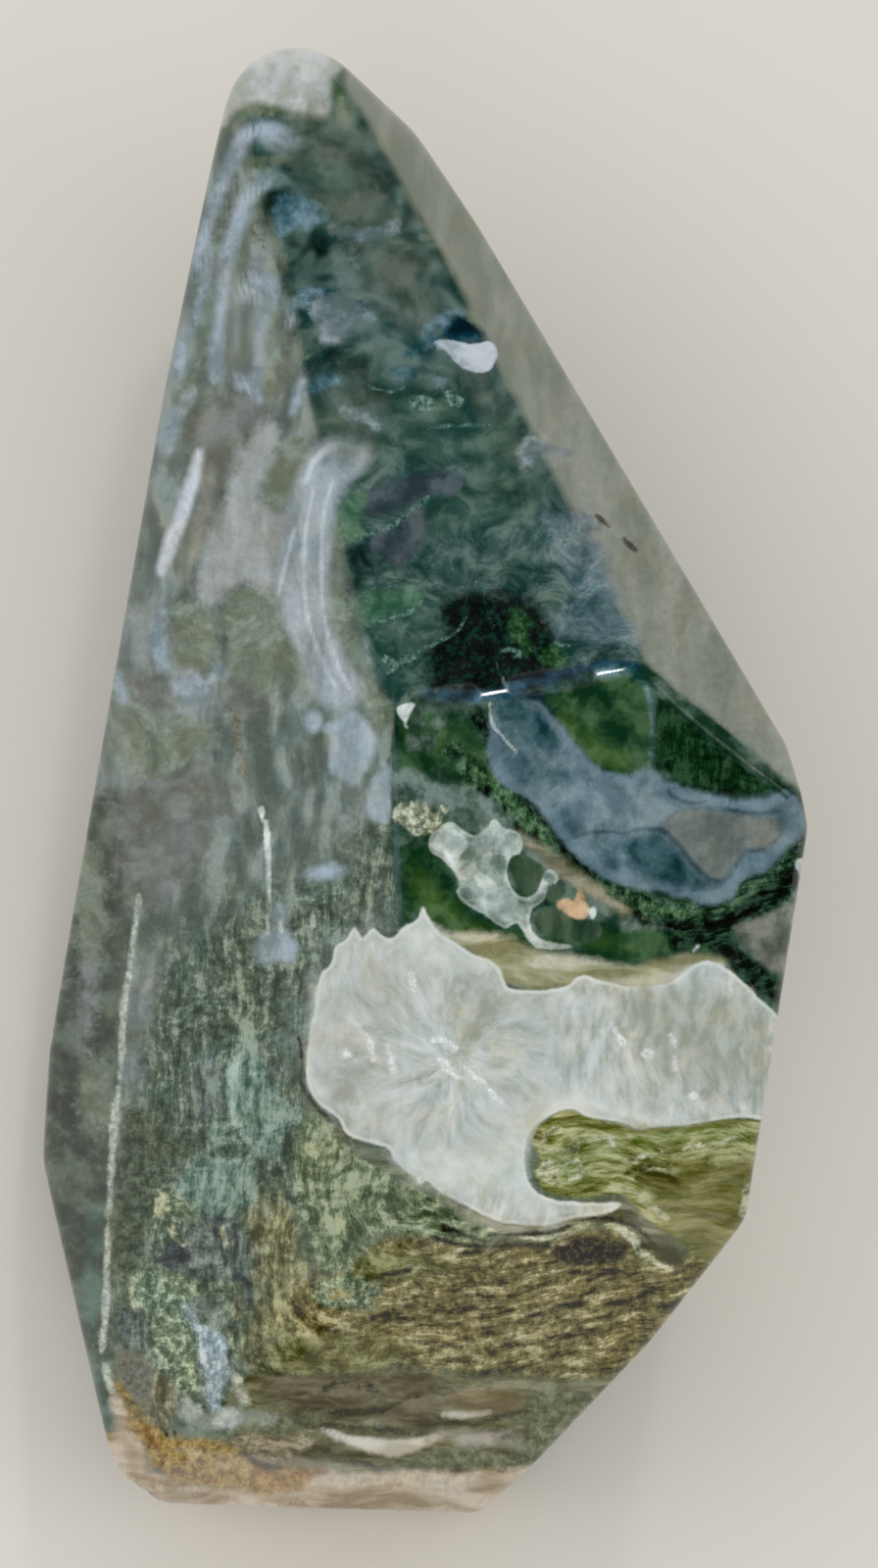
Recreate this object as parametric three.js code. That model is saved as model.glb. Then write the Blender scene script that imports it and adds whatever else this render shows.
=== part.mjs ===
// Moss agate teardrop: one polished stone with flat facets and softly rounded edges, lying on its flat back.
// Millimetres and degrees. +Z is up, +Y runs to the narrow tip and +X to the right, seen from above the wide end.
import * as THREE from 'three';
import { ConvexGeometry } from 'three/addons/geometries/ConvexGeometry.js';
import { mergeVertices } from 'three/addons/utils/BufferGeometryUtils.js';

// The heart is the point inside the stone that every facet's depth is measured from.
const heartHeight = 18;
const edgeRadius = 1.2; // what polishing takes off every edge
const edgeFlats = 3; // flats that stand for each rounded edge
const ballDetail = 7; // fineness of the two balls that shape the tip

// A facet is set the way a cutter sets one: azimuth clockwise from +Y, tilt of its face from straight up,
// and depth from the heart.
const facets = {
  // the crown, which shows from above
  crown: { azimuth: 23.2, tilt: 16.2, depth: 16 },
  left: { azimuth: 270, tilt: 48.8, depth: 13.3 },
  leftLow: { azimuth: 271, tilt: 61.2, depth: 15.9 },
  right: { azimuth: 56.5, tilt: 47.5, depth: 18.9 },
  front: { azimuth: 73.6, tilt: 10, depth: 16.3 },
  frontRight: { azimuth: 84.8, tilt: 27.6, depth: 18.5 },
  lowerFront: { azimuth: 167.6, tilt: 65.8, depth: 37.1 },
  heel: { azimuth: 178.2, tilt: 88, depth: 43 },
  heelCorner: { azimuth: 224, tilt: 84, depth: 44.2 },
  // the walls, which lean in a little towards the back
  leftWall: { azimuth: 287.2, tilt: 112, depth: 23.6 },
  leftBelly: { azimuth: 275.1, tilt: 118, depth: 27.3 },
  leftHeel: { azimuth: 249.7, tilt: 106, depth: 33.6 },
  rightWall: { azimuth: 63.4, tilt: 99, depth: 18.6 },
  wallCorner: { azimuth: 80, tilt: 97, depth: 20.7 },
  sideWall: { azimuth: 100.4, tilt: 98, depth: 22.2 },
  rightHeel: { azimuth: 124.6, tilt: 100, depth: 30.5 },
  rightHeelLow: { azimuth: 130.6, tilt: 101, depth: 32.5 },
  tipEnd: { azimuth: 14, tilt: 90, depth: 37.6 },
  // the back, which the stone lies on
  rest: { azimuth: 0, tilt: 180, depth: heartHeight },
  underTip: { azimuth: 2, tilt: 160, depth: 18.6 },
  underLeft: { azimuth: 284, tilt: 146, depth: 24.4 },
  underRight: { azimuth: 64, tilt: 126, depth: 21.8 },
  underSide: { azimuth: 98, tilt: 128, depth: 22.2 },
  underHeel: { azimuth: 193, tilt: 134, depth: 40.5 },
  underHeelRight: { azimuth: 132, tilt: 130, depth: 34.6 },
};

// The tip is worn round: its shape is two balls, a knob at the very end and a shoulder to its right.
const tipBalls = {
  knob: { centre: [-9.3, 45.7, 19.2], radius: 4.75 },
  shoulder: { centre: [-4.9, 42, 18.6], radius: 4.4 },
};

const stoneFinish = { color: 0x5d7163, roughness: 0.16, metalness: 0 };

// How far a corner may stand outside a facet and still count as lying on it.
const cornerSlack = 1e-7;

// The plane that a facet's rounded edges start from, which is its own plane moved in by the edge radius.
function insetPlane({ azimuth, tilt, depth }) {
  const normal = new THREE.Vector3(0, 0, 1)
    .applyAxisAngle(new THREE.Vector3(1, 0, 0), -THREE.MathUtils.degToRad(tilt))
    .applyAxisAngle(new THREE.Vector3(0, 0, 1), -THREE.MathUtils.degToRad(azimuth));
  const reach = normal.z * heartHeight + depth - edgeRadius;
  return { normal, reach };
}

// The point where three planes meet, or null where two of them are parallel.
function meetingPoint(a, b, c) {
  const bc = new THREE.Vector3().crossVectors(b.normal, c.normal);
  const ca = new THREE.Vector3().crossVectors(c.normal, a.normal);
  const ab = new THREE.Vector3().crossVectors(a.normal, b.normal);
  const volume = a.normal.dot(bc);
  if (Math.abs(volume) < 1e-5) return null;
  return bc
    .multiplyScalar(a.reach)
    .addScaledVector(ca, b.reach)
    .addScaledVector(ab, c.reach)
    .divideScalar(volume);
}

// Every corner of the stone, with the three facets that meet there.
function cornersOf(planes) {
  const corners = [];
  for (let i = 0; i < planes.length; i += 1) {
    for (let j = i + 1; j < planes.length; j += 1) {
      for (let k = j + 1; k < planes.length; k += 1) {
        const trio = [planes[i], planes[j], planes[k]];
        const point = meetingPoint(...trio);
        if (point && planes.every((p) => p.normal.dot(point) < p.reach + cornerSlack)) {
          corners.push({ point, trio });
        }
      }
    }
  }
  return corners;
}

// Points on the piece of a small ball that rounds one corner, from each facet's own direction to the next.
function roundedCorner({ point, trio }) {
  const [a, b, c] = trio.map((plane) => plane.normal);
  const points = [];
  for (let i = 0; i <= edgeFlats; i += 1) {
    for (let j = 0; i + j <= edgeFlats; j += 1) {
      const direction = a.clone().multiplyScalar(i);
      direction.addScaledVector(b, j).addScaledVector(c, edgeFlats - i - j);
      points.push(point.clone().addScaledVector(direction.normalize(), edgeRadius));
    }
  }
  return points;
}

function ballPoints({ centre, radius }) {
  const places = new THREE.IcosahedronGeometry(radius, ballDetail).getAttribute('position');
  const middle = new THREE.Vector3(...centre);
  return Array.from({ length: places.count }, (_, i) =>
    new THREE.Vector3().fromBufferAttribute(places, i).add(middle),
  );
}

// The whole stone is the smallest convex solid around its rounded corners and the two balls of its tip.
function stoneGeometry() {
  const corners = cornersOf(Object.values(facets).map(insetPlane));
  const points = [
    ...corners.flatMap(roundedCorner),
    ...Object.values(tipBalls).flatMap(ballPoints),
  ];
  const hull = new ConvexGeometry(points);
  hull.deleteAttribute('normal');
  const solid = mergeVertices(hull);
  solid.computeBoundingBox();
  const middle = solid.boundingBox.getCenter(new THREE.Vector3());
  solid.translate(-middle.x, -middle.y, -solid.boundingBox.min.z);
  return solid;
}

function makeStone() {
  const material = new THREE.MeshStandardMaterial({ ...stoneFinish, flatShading: true });
  const stone = new THREE.Mesh(stoneGeometry(), material);
  stone.name = 'stone';
  return stone;
}

const teardrop = new THREE.Group();
teardrop.add(makeStone());

export default teardrop;
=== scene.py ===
# Moss agate teardrop: a polished natural stone on a plain pale floor, seen from steeply above its wide end.
import math

import bmesh
import bpy
import numpy as np
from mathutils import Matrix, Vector, noise
from mathutils.bvhtree import BVHTree


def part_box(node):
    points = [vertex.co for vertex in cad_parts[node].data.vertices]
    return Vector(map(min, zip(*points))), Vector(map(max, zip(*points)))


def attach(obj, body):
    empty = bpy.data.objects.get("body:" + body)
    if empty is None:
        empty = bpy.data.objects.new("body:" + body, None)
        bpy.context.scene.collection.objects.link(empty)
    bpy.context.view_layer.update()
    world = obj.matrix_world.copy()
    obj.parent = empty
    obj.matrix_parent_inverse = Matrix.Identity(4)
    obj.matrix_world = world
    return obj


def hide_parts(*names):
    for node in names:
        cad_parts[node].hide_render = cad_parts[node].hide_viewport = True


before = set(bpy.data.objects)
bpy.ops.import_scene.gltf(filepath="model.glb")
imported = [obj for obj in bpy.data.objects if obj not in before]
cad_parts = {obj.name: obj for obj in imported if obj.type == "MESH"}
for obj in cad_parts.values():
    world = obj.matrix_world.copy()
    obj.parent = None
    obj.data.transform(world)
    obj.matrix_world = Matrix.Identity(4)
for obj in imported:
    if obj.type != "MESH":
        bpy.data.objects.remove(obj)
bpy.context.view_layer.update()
print("frame loaded:", sorted(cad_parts))

mm = 0.001
veinSeed = 3
noise.seed_set(veinSeed)  # so that the veins run the same way each time


# the camera, at the photograph's angle
view = {
    "elevation": math.radians(72),  # above the floor, from the wide end
    "distance": 520 * mm,
    "aim": Vector((1.28, -3.27, 20)) * mm,  # the point at the middle of the frame
    "pixelSize": 0.062 * mm,  # at that point
    "frameWidth": 896,
    "frameHeight": 1600,
    "sensorHeight": 24,
}
backwards = Vector((0, -math.cos(view["elevation"]), math.sin(view["elevation"])))
upwards = Vector((0, math.sin(view["elevation"]), math.cos(view["elevation"])))
eye = view["aim"] + backwards * view["distance"]


def makeCamera():
    camera = bpy.data.cameras.new("camera")
    camera.sensor_fit = "VERTICAL"
    camera.sensor_height = view["sensorHeight"]
    camera.lens = view["sensorHeight"] * view["distance"] / (view["pixelSize"] * view["frameHeight"])
    camera.clip_start = 10 * mm
    camera.clip_end = 10
    holder = bpy.data.objects.new("camera", camera)
    holder.location = eye
    holder.rotation_euler = (math.pi / 2 - view["elevation"], 0, 0)
    bpy.context.scene.collection.objects.link(holder)
    bpy.context.scene.camera = holder


def pictureOf(points):  # where points of the stone lie in the 896 x 1600 frame
    away = points - np.array(eye)
    depth = -(away @ np.array(backwards))
    scale = view["distance"] / view["pixelSize"]
    across = view["frameWidth"] / 2 + scale * away[:, 0] / depth
    down = view["frameHeight"] / 2 - scale * (away @ np.array(upwards)) / depth
    return across, down


makeCamera()
print("camera placed")


# the stone's skin: a grid cast outwards onto the solid, finer where it shows, finest in the detailed corner
skin = {
    "spacing": 0.92 * mm,  # on the box around the stone
    "heart": Vector((1.3, -6, 17)) * mm,  # the grid is cast from here
    "softening": 4,  # rounds of smoothing of the worn edges
    "pull": 0.5,  # how far each round moves a point towards its neighbours
    "hidden": 1.2 * mm,  # deeper than this behind the visible face, the grid stays coarse
    "detail": {"left": 296, "top": 686, "right": 830, "bottom": 1304},  # picture frame
}


def gridOnBox(low, high, step):
    counts = [max(2, int(round((high[i] - low[i]) / step))) for i in range(3)]
    index = {}
    points = []
    faces = []

    def corner(key):
        if key not in index:
            index[key] = len(points)
            points.append([low[i] + (high[i] - low[i]) * key[i] / counts[i] for i in range(3)])
        return index[key]

    for axis in range(3):
        a, b = [i for i in range(3) if i != axis]
        for side in (0, counts[axis]):
            outward = (side > 0) == (axis != 1)
            for i in range(counts[a]):
                for j in range(counts[b]):
                    loop = []
                    for di, dj in ((0, 0), (1, 0), (1, 1), (0, 1)):
                        key = [0, 0, 0]
                        key[axis] = side
                        key[a] = i + di
                        key[b] = j + dj
                        loop.append(corner(tuple(key)))
                    faces.append(loop if outward else loop[::-1])
    return np.array(points), faces


def roundedDirections(points, low, high):  # spreads the box's grid evenly over directions
    middle = (np.array(low) + np.array(high)) / 2
    half = (np.array(high) - np.array(low)) / 2
    cube = (points - middle) / half
    squares = cube ** 2
    x2, y2, z2 = squares[:, 0], squares[:, 1], squares[:, 2]
    ball = cube * np.sqrt(np.stack([
        1 - y2 / 2 - z2 / 2 + y2 * z2 / 3,
        1 - z2 / 2 - x2 / 2 + z2 * x2 / 3,
        1 - x2 / 2 - y2 / 2 + x2 * y2 / 3,
    ], 1))
    return ball * half


def castOnto(tree, directions):
    heart = skin["heart"]
    return np.array([tree.ray_cast(heart, Vector(aim).normalized())[0] for aim in directions])


def depthBehind(tree, points):  # how far each point lies behind the face that the camera sees
    depths = []
    for point in points:
        ray = Vector(point) - eye
        hit = tree.ray_cast(eye, ray.normalized())
        depths.append(max(0.0, ray.length - hit[3]) if hit[0] is not None else 0.0)
    return np.array(depths)


def pointsOf(mesh):
    flat = np.empty(len(mesh.vertices) * 3)
    mesh.vertices.foreach_get("co", flat)
    return flat.reshape(-1, 3)


def refine(mesh, chosen):  # splits every edge of the chosen faces in two
    work = bmesh.new()
    work.from_mesh(mesh)
    work.faces.ensure_lookup_table()
    edges = {edge for index in np.flatnonzero(chosen) for edge in work.faces[index].edges}
    edges = sorted(edges, key=lambda edge: edge.index)
    bmesh.ops.subdivide_edges(work, edges=edges, cuts=1, use_grid_fill=True)
    work.to_mesh(mesh)
    work.free()


def faceMeans(mesh, values):
    return np.array([values[list(face.vertices)].mean() for face in mesh.polygons])


def relax(mesh, rounds):  # evens out the worn edges
    points = pointsOf(mesh)
    ends = np.empty(len(mesh.edges) * 2, dtype=np.int32)
    mesh.edges.foreach_get("vertices", ends)
    one, two = ends.reshape(-1, 2).T
    degree = np.bincount(ends, minlength=len(points))[:, None]
    for _ in range(rounds):
        total = np.zeros_like(points)
        np.add.at(total, one, points[two])
        np.add.at(total, two, points[one])
        points = points + skin["pull"] * (total / degree - points)
    mesh.vertices.foreach_set("co", points.ravel())


def makeSkin():
    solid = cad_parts["stone"]
    tree = BVHTree.FromObject(solid, bpy.context.evaluated_depsgraph_get())
    low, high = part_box("stone")
    points, faces = gridOnBox(low, high, skin["spacing"])
    mesh = bpy.data.meshes.new("agate")
    mesh.from_pydata(castOnto(tree, roundedDirections(points, low, high)), [], faces)
    behind = depthBehind(tree, pointsOf(mesh))
    refine(mesh, faceMeans(mesh, behind) < skin["hidden"])
    directions = pointsOf(mesh) - np.array(skin["heart"])
    mesh.vertices.foreach_set("co", castOnto(tree, directions).ravel())
    relax(mesh, skin["softening"])
    points = pointsOf(mesh)
    behind = depthBehind(tree, points)
    across, down = pictureOf(points)
    corner = skin["detail"]
    inside = (across > corner["left"]) & (across < corner["right"])
    inside &= (down > corner["top"]) & (down < corner["bottom"]) & (behind < skin["hidden"])
    refine(mesh, faceMeans(mesh, inside.astype(float)) == 1)
    mesh.polygons.foreach_set("use_smooth", [True] * len(mesh.polygons))
    mesh.update()
    return mesh, tree


mesh, tree = makeSkin()
triangles = sum(len(face.vertices) - 2 for face in mesh.polygons)
print("skin cast:", len(mesh.vertices), "points,", triangles, "triangles")


# how a mineral's marks are drawn: outlines, bands and spots in the photograph's 896 x 1600 frame
def curveThrough(points, closed, steps=4):
    points = np.array(points, np.float32)
    count = len(points)
    t = np.linspace(0, 1, steps, endpoint=False, dtype=np.float32)[:, None]
    spans = []
    for i in range(count if closed else count - 1):
        before, start, end, after = (
            points[(i + k) % count] if closed else points[min(max(i + k, 0), count - 1)]
            for k in (-1, 0, 1, 2))
        spans.append(start + t * (end - before) / 2
                     + t ** 2 * (before - 2.5 * start + 2 * end - 0.5 * after)
                     + t ** 3 * (1.5 * (start - end) + 0.5 * (after - before)))
    return np.concatenate(spans if closed else spans + [points[-1:]])


def measure(x, y, starts, ends):  # squared distance to every straight piece, and how far along it
    run = ends - starts
    acrossIt = x[:, None] - starts[:, 0]
    downIt = y[:, None] - starts[:, 1]
    share = (acrossIt * run[:, 0] + downIt * run[:, 1]) / np.maximum((run[:, :2] ** 2).sum(1), 1e-9)
    share = np.clip(share, 0, 1)
    return (acrossIt - share * run[:, 0]) ** 2 + (downIt - share * run[:, 1]) ** 2, share


def patch(*outline):
    def depth(x, y):
        starts = curveThrough(outline, True)
        ends = np.roll(starts, -1, axis=0)
        away = np.sqrt(measure(x, y, starts, ends)[0].min(1))
        fall = ends[:, 1] - starts[:, 1]
        slope = (ends[:, 0] - starts[:, 0]) / np.where(fall == 0, 1, fall)
        crossing = starts[:, 0] + (y[:, None] - starts[:, 1]) * slope
        passed = ((starts[:, 1] > y[:, None]) != (ends[:, 1] > y[:, None])) & (x[:, None] < crossing)
        return np.where(passed.sum(1) % 2 == 1, away, -away)
    return depth, np.array(outline)[:, :2]


def band(*route):  # each point of a band is x, y and the width there
    def depth(x, y):
        line = curveThrough(route, False)
        away, share = measure(x, y, line[:-1], line[1:])
        width = line[:-1, 2] + share * (line[1:, 2] - line[:-1, 2])
        return (width / 2 - np.sqrt(away)).max(1)
    return depth, np.array(route)[:, :2]


def spot(x0, y0, across, along, turn=0):  # a soft ellipse; turn is in degrees
    def depth(x, y):
        cos, sin = math.cos(math.radians(turn)), math.sin(math.radians(turn))
        u = ((x - x0) * cos + (y - y0) * sin) / across
        v = ((y - y0) * cos - (x - x0) * sin) / along
        return (1 - np.hypot(u, v)) * min(across, along)
    reach = max(across, along)
    return depth, np.array([(x0 - reach, y0 - reach), (x0 + reach, y0 + reach)])


fields = {  # lengths in mm in the picture plane, with its middle at 0, unless the note says otherwise
    "reach": 15,  # marks are worked out this far around themselves, in picture frame
    "softReach": 20,  # and this much further for each mm that they are soft or ragged
    "far": 34,  # the distance stored beyond that, in picture frame
    "skinDepth": 0.5,  # veins stray once they are this deep behind the visible faces
    "wander": 8,  # how far they stray for each mm of depth, in picture frame
    "wanderSize": 13 * mm,  # the length of their bends in the stone
    "bendSize": 4.5,  # the bends in the moss
    "smallBends": 2.3,  # times as fine
    "smallShare": 0.5,
    "corner": (-16.6, -42.2),  # where the strands turn from the layered bed up into the left face
    "turn": 1.6,  # how sharply they turn
    "climb": 0.004,  # the bed climbs to the right
    "climbFrom": -10,
    "strandStart": 20,
    "quartzMiddle": (0.43, -17.05),
    "quartzHeart": 6.5,  # the radius in which its crystals fan out
    "spokeStart": 0.05,
    "spokes": 2.2,  # how much the texture varies from crystal to crystal
    "spokeGrowth": 0.3,  # and along each
    "tip": 47,  # how far up the tip lies
}
bends = {"flow": 0.6, "swirl": 1.5, "strand": 0.5, "spray": 0.8}  # how far each pattern follows the bends


def sheetOf(points, tree):  # the picture plane inside the stone: veins stray as they go deeper
    behind = depthBehind(tree, points)
    across, down = pictureOf(points)
    deep = np.maximum(behind / mm - fields["skinDepth"], 0)
    stray = np.array([noise.noise_vector(Vector(point) / fields["wanderSize"]) for point in points])
    across = across + stray[:, 0] * deep * fields["wander"]
    down = down + stray[:, 1] * deep * fields["wander"]
    return across, down, deep


def depthInto(mineral, across, down):  # signed distance into the nearest mark, in mm
    reach = fields["reach"] + fields["softReach"] * (mineral["soft"] + mineral["ragged"])
    best = np.full(len(across), -float(fields["far"]), np.float32)
    for depth, corners in mineral["marks"].values():
        near = (across > corners[:, 0].min() - reach) & (across < corners[:, 0].max() + reach)
        near &= (down > corners[:, 1].min() - reach) & (down < corners[:, 1].max() + reach)
        near = np.flatnonzero(near)
        if len(near):
            best[near] = np.maximum(best[near], depth(across[near], down[near]))
    return best * view["pixelSize"] / mm


def storeField(mesh, name, values):
    vector = np.ndim(values) == 2
    layer = mesh.attributes.new(name, "FLOAT_VECTOR" if vector else "FLOAT", "POINT")
    flat = np.ascontiguousarray(values, dtype=np.float32).ravel()
    layer.data.foreach_set("vector" if vector else "value", flat)


def bendsIn(sheet):
    bent = []
    for place in sheet / fields["bendSize"]:
        place = Vector(place)
        small = noise.noise_vector(place * fields["smallBends"])
        bent.append(noise.noise_vector(place) + small * fields["smallShare"])
    return np.array(bent)


def strandsOf(sheet):  # how far in from the low left corner a strand runs, and how far along it a place lies
    left, low = fields["corner"]
    turn = fields["turn"]
    fromLeft = sheet[:, 0] - left
    fromBottom = sheet[:, 1] - low - fields["climb"] * (sheet[:, 0] - fields["climbFrom"]) ** 2
    inward = -turn * np.log(np.exp(-fromLeft / turn) + np.exp(-fromBottom / turn))
    return np.stack([inward, fromLeft - fromBottom + fields["strandStart"], sheet[:, 2]], 1)


def sprayed(sheet):  # runs out along the crystals from the middle of the quartz
    spoke = sheet - (*fields["quartzMiddle"], 0)
    length = np.linalg.norm(spoke, axis=1)[:, None]
    around = spoke / np.maximum(length, fields["spokeStart"])
    return around * fields["spokes"] + spoke * fields["spokeGrowth"]


across, down, deep = (part.astype(np.float32) for part in sheetOf(pointsOf(mesh), tree))
sheet = np.stack([
    (across - view["frameWidth"] / 2) * view["pixelSize"] / mm,
    (view["frameHeight"] / 2 - down) * view["pixelSize"] / mm,
    deep,
], 1)
bent = bendsIn(sheet)
storeField(mesh, "sheet", sheet)
storeField(mesh, "flow", sheet + bent * bends["flow"])
storeField(mesh, "swirl", sheet + bent * bends["swirl"])
storeField(mesh, "strand", strandsOf(sheet + bent * bends["strand"]))
storeField(mesh, "spray", sprayed(sheet + bent * bends["spray"]))
storeField(mesh, "fromTip", fields["tip"] - sheet[:, 1])
middleAcross, middleUp = fields["quartzMiddle"]
fromMiddle = np.hypot(sheet[:, 0] - middleAcross, sheet[:, 1] - middleUp)
storeField(mesh, "quartzHeart", fields["quartzHeart"] - fromMiddle)
print("picture plane laid through the stone")


# the minerals, from the ground up; lengths in mm, tones as they look in daylight from 0 to 255
minerals = {}

ground = {  # under all the minerals
    "tones": ((60, 76, 60), (84, 96, 80), (110, 116, 98)),
    "texture": "moss",
}

# the left face: partly its own colour, partly painted reflection, its tones lifted by the veil of the bright
# surroundings
minerals["leftFace"] = {
    "tones": ((70, 84, 78), (94, 108, 102), (130, 142, 138)),
    "texture": "streak",
    "soft": 0.5,
    "ragged": 0.6,
    "marks": {
        "face": patch(
            (236, 112), (262, 165), (268, 215), (292, 300), (318, 400), (352, 560), (396, 722), (404, 945),
            (330, 1010), (300, 1100), (200, 1160), (40, 1200), (0, 1150), (60, 900), (110, 600), (150, 380),
            (190, 180)),
    },
}

minerals["sideStrip"] = {
    "tones": ((18, 32, 22), (46, 60, 48), (82, 96, 84)),
    "texture": "cloud",
    "soft": 0.35,
    "ragged": 0.2,
    "marks": {
        "strip": patch(
            (148, 860), (138, 940), (126, 1060), (114, 1210), (110, 1400), (120, 1470), (70, 1440),
            (10, 1180), (30, 950), (80, 780)),
    },
}

minerals["lowerMoss"] = {
    "tones": ((36, 50, 36), (62, 80, 66), (88, 104, 88), (132, 146, 130)),
    "texture": "lichen",
    "soft": 2.6,
    "ragged": 1.5,
    "marks": {
        "left": patch(
            (150, 1010), (230, 930), (310, 900), (400, 830), (402, 930), (330, 980), (306, 1100),
            (345, 1170), (300, 1290), (250, 1400), (240, 1450), (150, 1440), (120, 1380), (125, 1200)),
    },
}

minerals["darkMoss"] = {
    "tones": ((34, 44, 26), (60, 72, 54), (86, 96, 78)),
    "texture": "granules",
    "soft": 0.6,
    "ragged": 0.7,
    "strength": 0.8,
    "marks": {
        "upper": patch(
            (122, 1130), (160, 1140), (190, 1180), (180, 1204), (160, 1220), (140, 1290), (116, 1300),
            (114, 1200)),
        "stem": patch((262, 1196), (282, 1200), (288, 1230), (280, 1244), (266, 1230)),
        "pocket": patch((252, 1300), (268, 1304), (274, 1326), (262, 1334), (250, 1322)),
        "slope": patch(
            (350, 1196), (376, 1210), (400, 1236), (420, 1256), (390, 1256), (364, 1246), (346, 1222)),
        "left": patch((118, 1336), (140, 1330), (152, 1350), (148, 1372), (124, 1376)),
    },
}

minerals["umber"] = {
    "tones": ((60, 60, 32), (98, 98, 66), (122, 124, 92), (160, 160, 122)),
    "texture": "lichen",
    "soft": 1.1,
    "ragged": 0.9,
    "marks": {
        "strands": patch(
            (252, 1228), (270, 1232), (286, 1228), (300, 1246), (306, 1280), (330, 1330), (330, 1396),
            (280, 1400), (256, 1402), (248, 1372), (256, 1336), (270, 1310), (258, 1290)),
    },
}

minerals["crown"] = {
    "tones": ((28, 56, 52), (58, 82, 78), (92, 112, 106)),
    "texture": "moss",
    "soft": 0.35,
    "ragged": 0.3,
    "marks": {
        "face": patch(
            (345, 84), (362, 102), (388, 150), (420, 215), (455, 270), (500, 362), (560, 470), (612, 580),
            (657, 676), (640, 690), (540, 706), (402, 722), (374, 640), (345, 560), (330, 470), (314, 400),
            (298, 300), (284, 240), (270, 205), (255, 160), (246, 122), (290, 116), (330, 122), (338, 105)),
    },
}

minerals["glass"] = {
    "tones": ((26, 50, 36), (54, 78, 64), (92, 110, 98)),
    "texture": "cloud",
    "soft": 0.12,
    "ragged": 0.1,
    "marks": {
        "face": patch(
            (404, 722), (470, 714), (540, 707), (600, 690), (657, 678), (740, 744), (815, 806), (840, 860),
            (830, 1050), (760, 1010), (700, 1000), (600, 1010), (520, 1010), (440, 960), (408, 945)),
    },
}

# painted reflection: the pale veil that the bright surroundings lay on the right upper face
minerals["paleFace"] = {
    "tones": ((108, 115, 102), (120, 126, 115), (130, 135, 126)),
    "texture": "brush",
    "soft": 0.3,
    "ragged": 0.12,
    "marks": {
        "face": patch(
            (352, 84), (380, 128), (420, 205), (455, 262), (500, 350), (612, 575), (660, 674), (740, 740),
            (813, 802), (900, 820), (760, 600), (560, 250), (450, 60), (380, 40)),
    },
}

minerals["strata"] = {
    "tones": ((24, 22, 4), (62, 58, 28), (88, 83, 47), (106, 101, 64), (128, 122, 86), (168, 162, 126)),
    "texture": "strata",
    "spread": (0.33, 0.67),
    "soft": 0.6,
    "ragged": 0.9,
    "marks": {
        "bed": patch(
            (300, 1310), (340, 1292), (380, 1268), (430, 1258), (500, 1266), (560, 1262), (600, 1246),
            (650, 1250), (690, 1280), (760, 1270), (740, 1330), (640, 1430), (600, 1412), (480, 1404),
            (380, 1400), (320, 1398), (300, 1372), (296, 1340)),
    },
}

minerals["greyBed"] = {
    "tones": ((54, 50, 20), (78, 76, 48), (100, 100, 72), (124, 126, 102)),
    "texture": "bed",
    "soft": 0.5,
    "ragged": 0.4,
    "marks": {
        "bed": patch(
            (246, 1408), (300, 1398), (480, 1402), (600, 1408), (660, 1396), (560, 1515), (400, 1508),
            (330, 1503), (300, 1496), (256, 1470), (232, 1444)),
    },
}

minerals["umberBed"] = {
    "tones": ((54, 50, 26), (80, 74, 50), (100, 94, 72)),
    "texture": "bed",
    "soft": 0.35,
    "ragged": 0.3,
    "strength": 0.85,
    "marks": {
        "lens": patch(
            (258, 1406), (290, 1402), (330, 1400), (384, 1404), (400, 1414), (392, 1426), (356, 1436),
            (310, 1434), (270, 1426)),
        "right": patch(
            (400, 1408), (440, 1404), (448, 1420), (450, 1450), (430, 1462), (400, 1458), (380, 1446),
            (396, 1430)),
        "under": patch(
            (240, 1478), (266, 1488), (300, 1484), (330, 1480), (330, 1496), (300, 1500), (268, 1498),
            (248, 1492)),
    },
}

minerals["tanBed"] = {
    "tones": ((90, 78, 46), (118, 104, 72), (150, 136, 110)),
    "texture": "softBed",
    "soft": 0.4,
    "ragged": 0.3,
    "strength": 0.85,
    "marks": {
        "shelf": patch(
            (452, 1428), (470, 1420), (500, 1418), (530, 1422), (548, 1430), (520, 1438), (490, 1442),
            (462, 1438)),
    },
}

minerals["mossBed"] = {
    "tones": ((66, 74, 48), (88, 96, 72), (112, 120, 96)),
    "texture": "granules",
    "soft": 0.45,
    "ragged": 0.4,
    "strength": 0.8,
    "marks": {
        "right": patch(
            (536, 1432), (560, 1420), (600, 1418), (610, 1430), (570, 1480), (548, 1500), (520, 1504),
            (440, 1500), (400, 1498), (420, 1486), (460, 1478), (500, 1484), (526, 1478)),
        "left": patch(
            (244, 1440), (280, 1446), (330, 1442), (330, 1456), (290, 1462), (250, 1464), (226, 1460)),
    },
}

minerals["bedLines"] = {
    "tones": ((10, 12, 0), (36, 38, 16), (66, 68, 42)),
    "texture": "granules",
    "soft": 0.2,
    "ragged": 0.25,
    "strength": 0.9,
    "marks": {
        "first": band((330, 1418, 2), (344, 1414, 4), (370, 1416, 4), (392, 1422, 2)),
        "second": band((310, 1438, 2), (350, 1440, 5), (390, 1438, 5), (410, 1430, 3)),
        "third": band((300, 1452, 2), (330, 1456, 5), (380, 1458, 6), (430, 1464, 6), (448, 1460, 2)),
        "fourth": band((270, 1402, 3), (310, 1400, 3), (380, 1404, 2)),
        "fifth": band((450, 1446, 3), (480, 1450, 5), (510, 1446, 6), (540, 1440, 4)),
        "sixth": band((330, 1480, 3), (384, 1498, 5), (400, 1500, 2)),
        "seventh": band((226, 1464, 3), (236, 1478, 5), (248, 1490, 5), (262, 1498, 4)),
        "eighth": band((280, 1424, 2), (310, 1422, 3), (330, 1424, 2)),
    },
}

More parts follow.
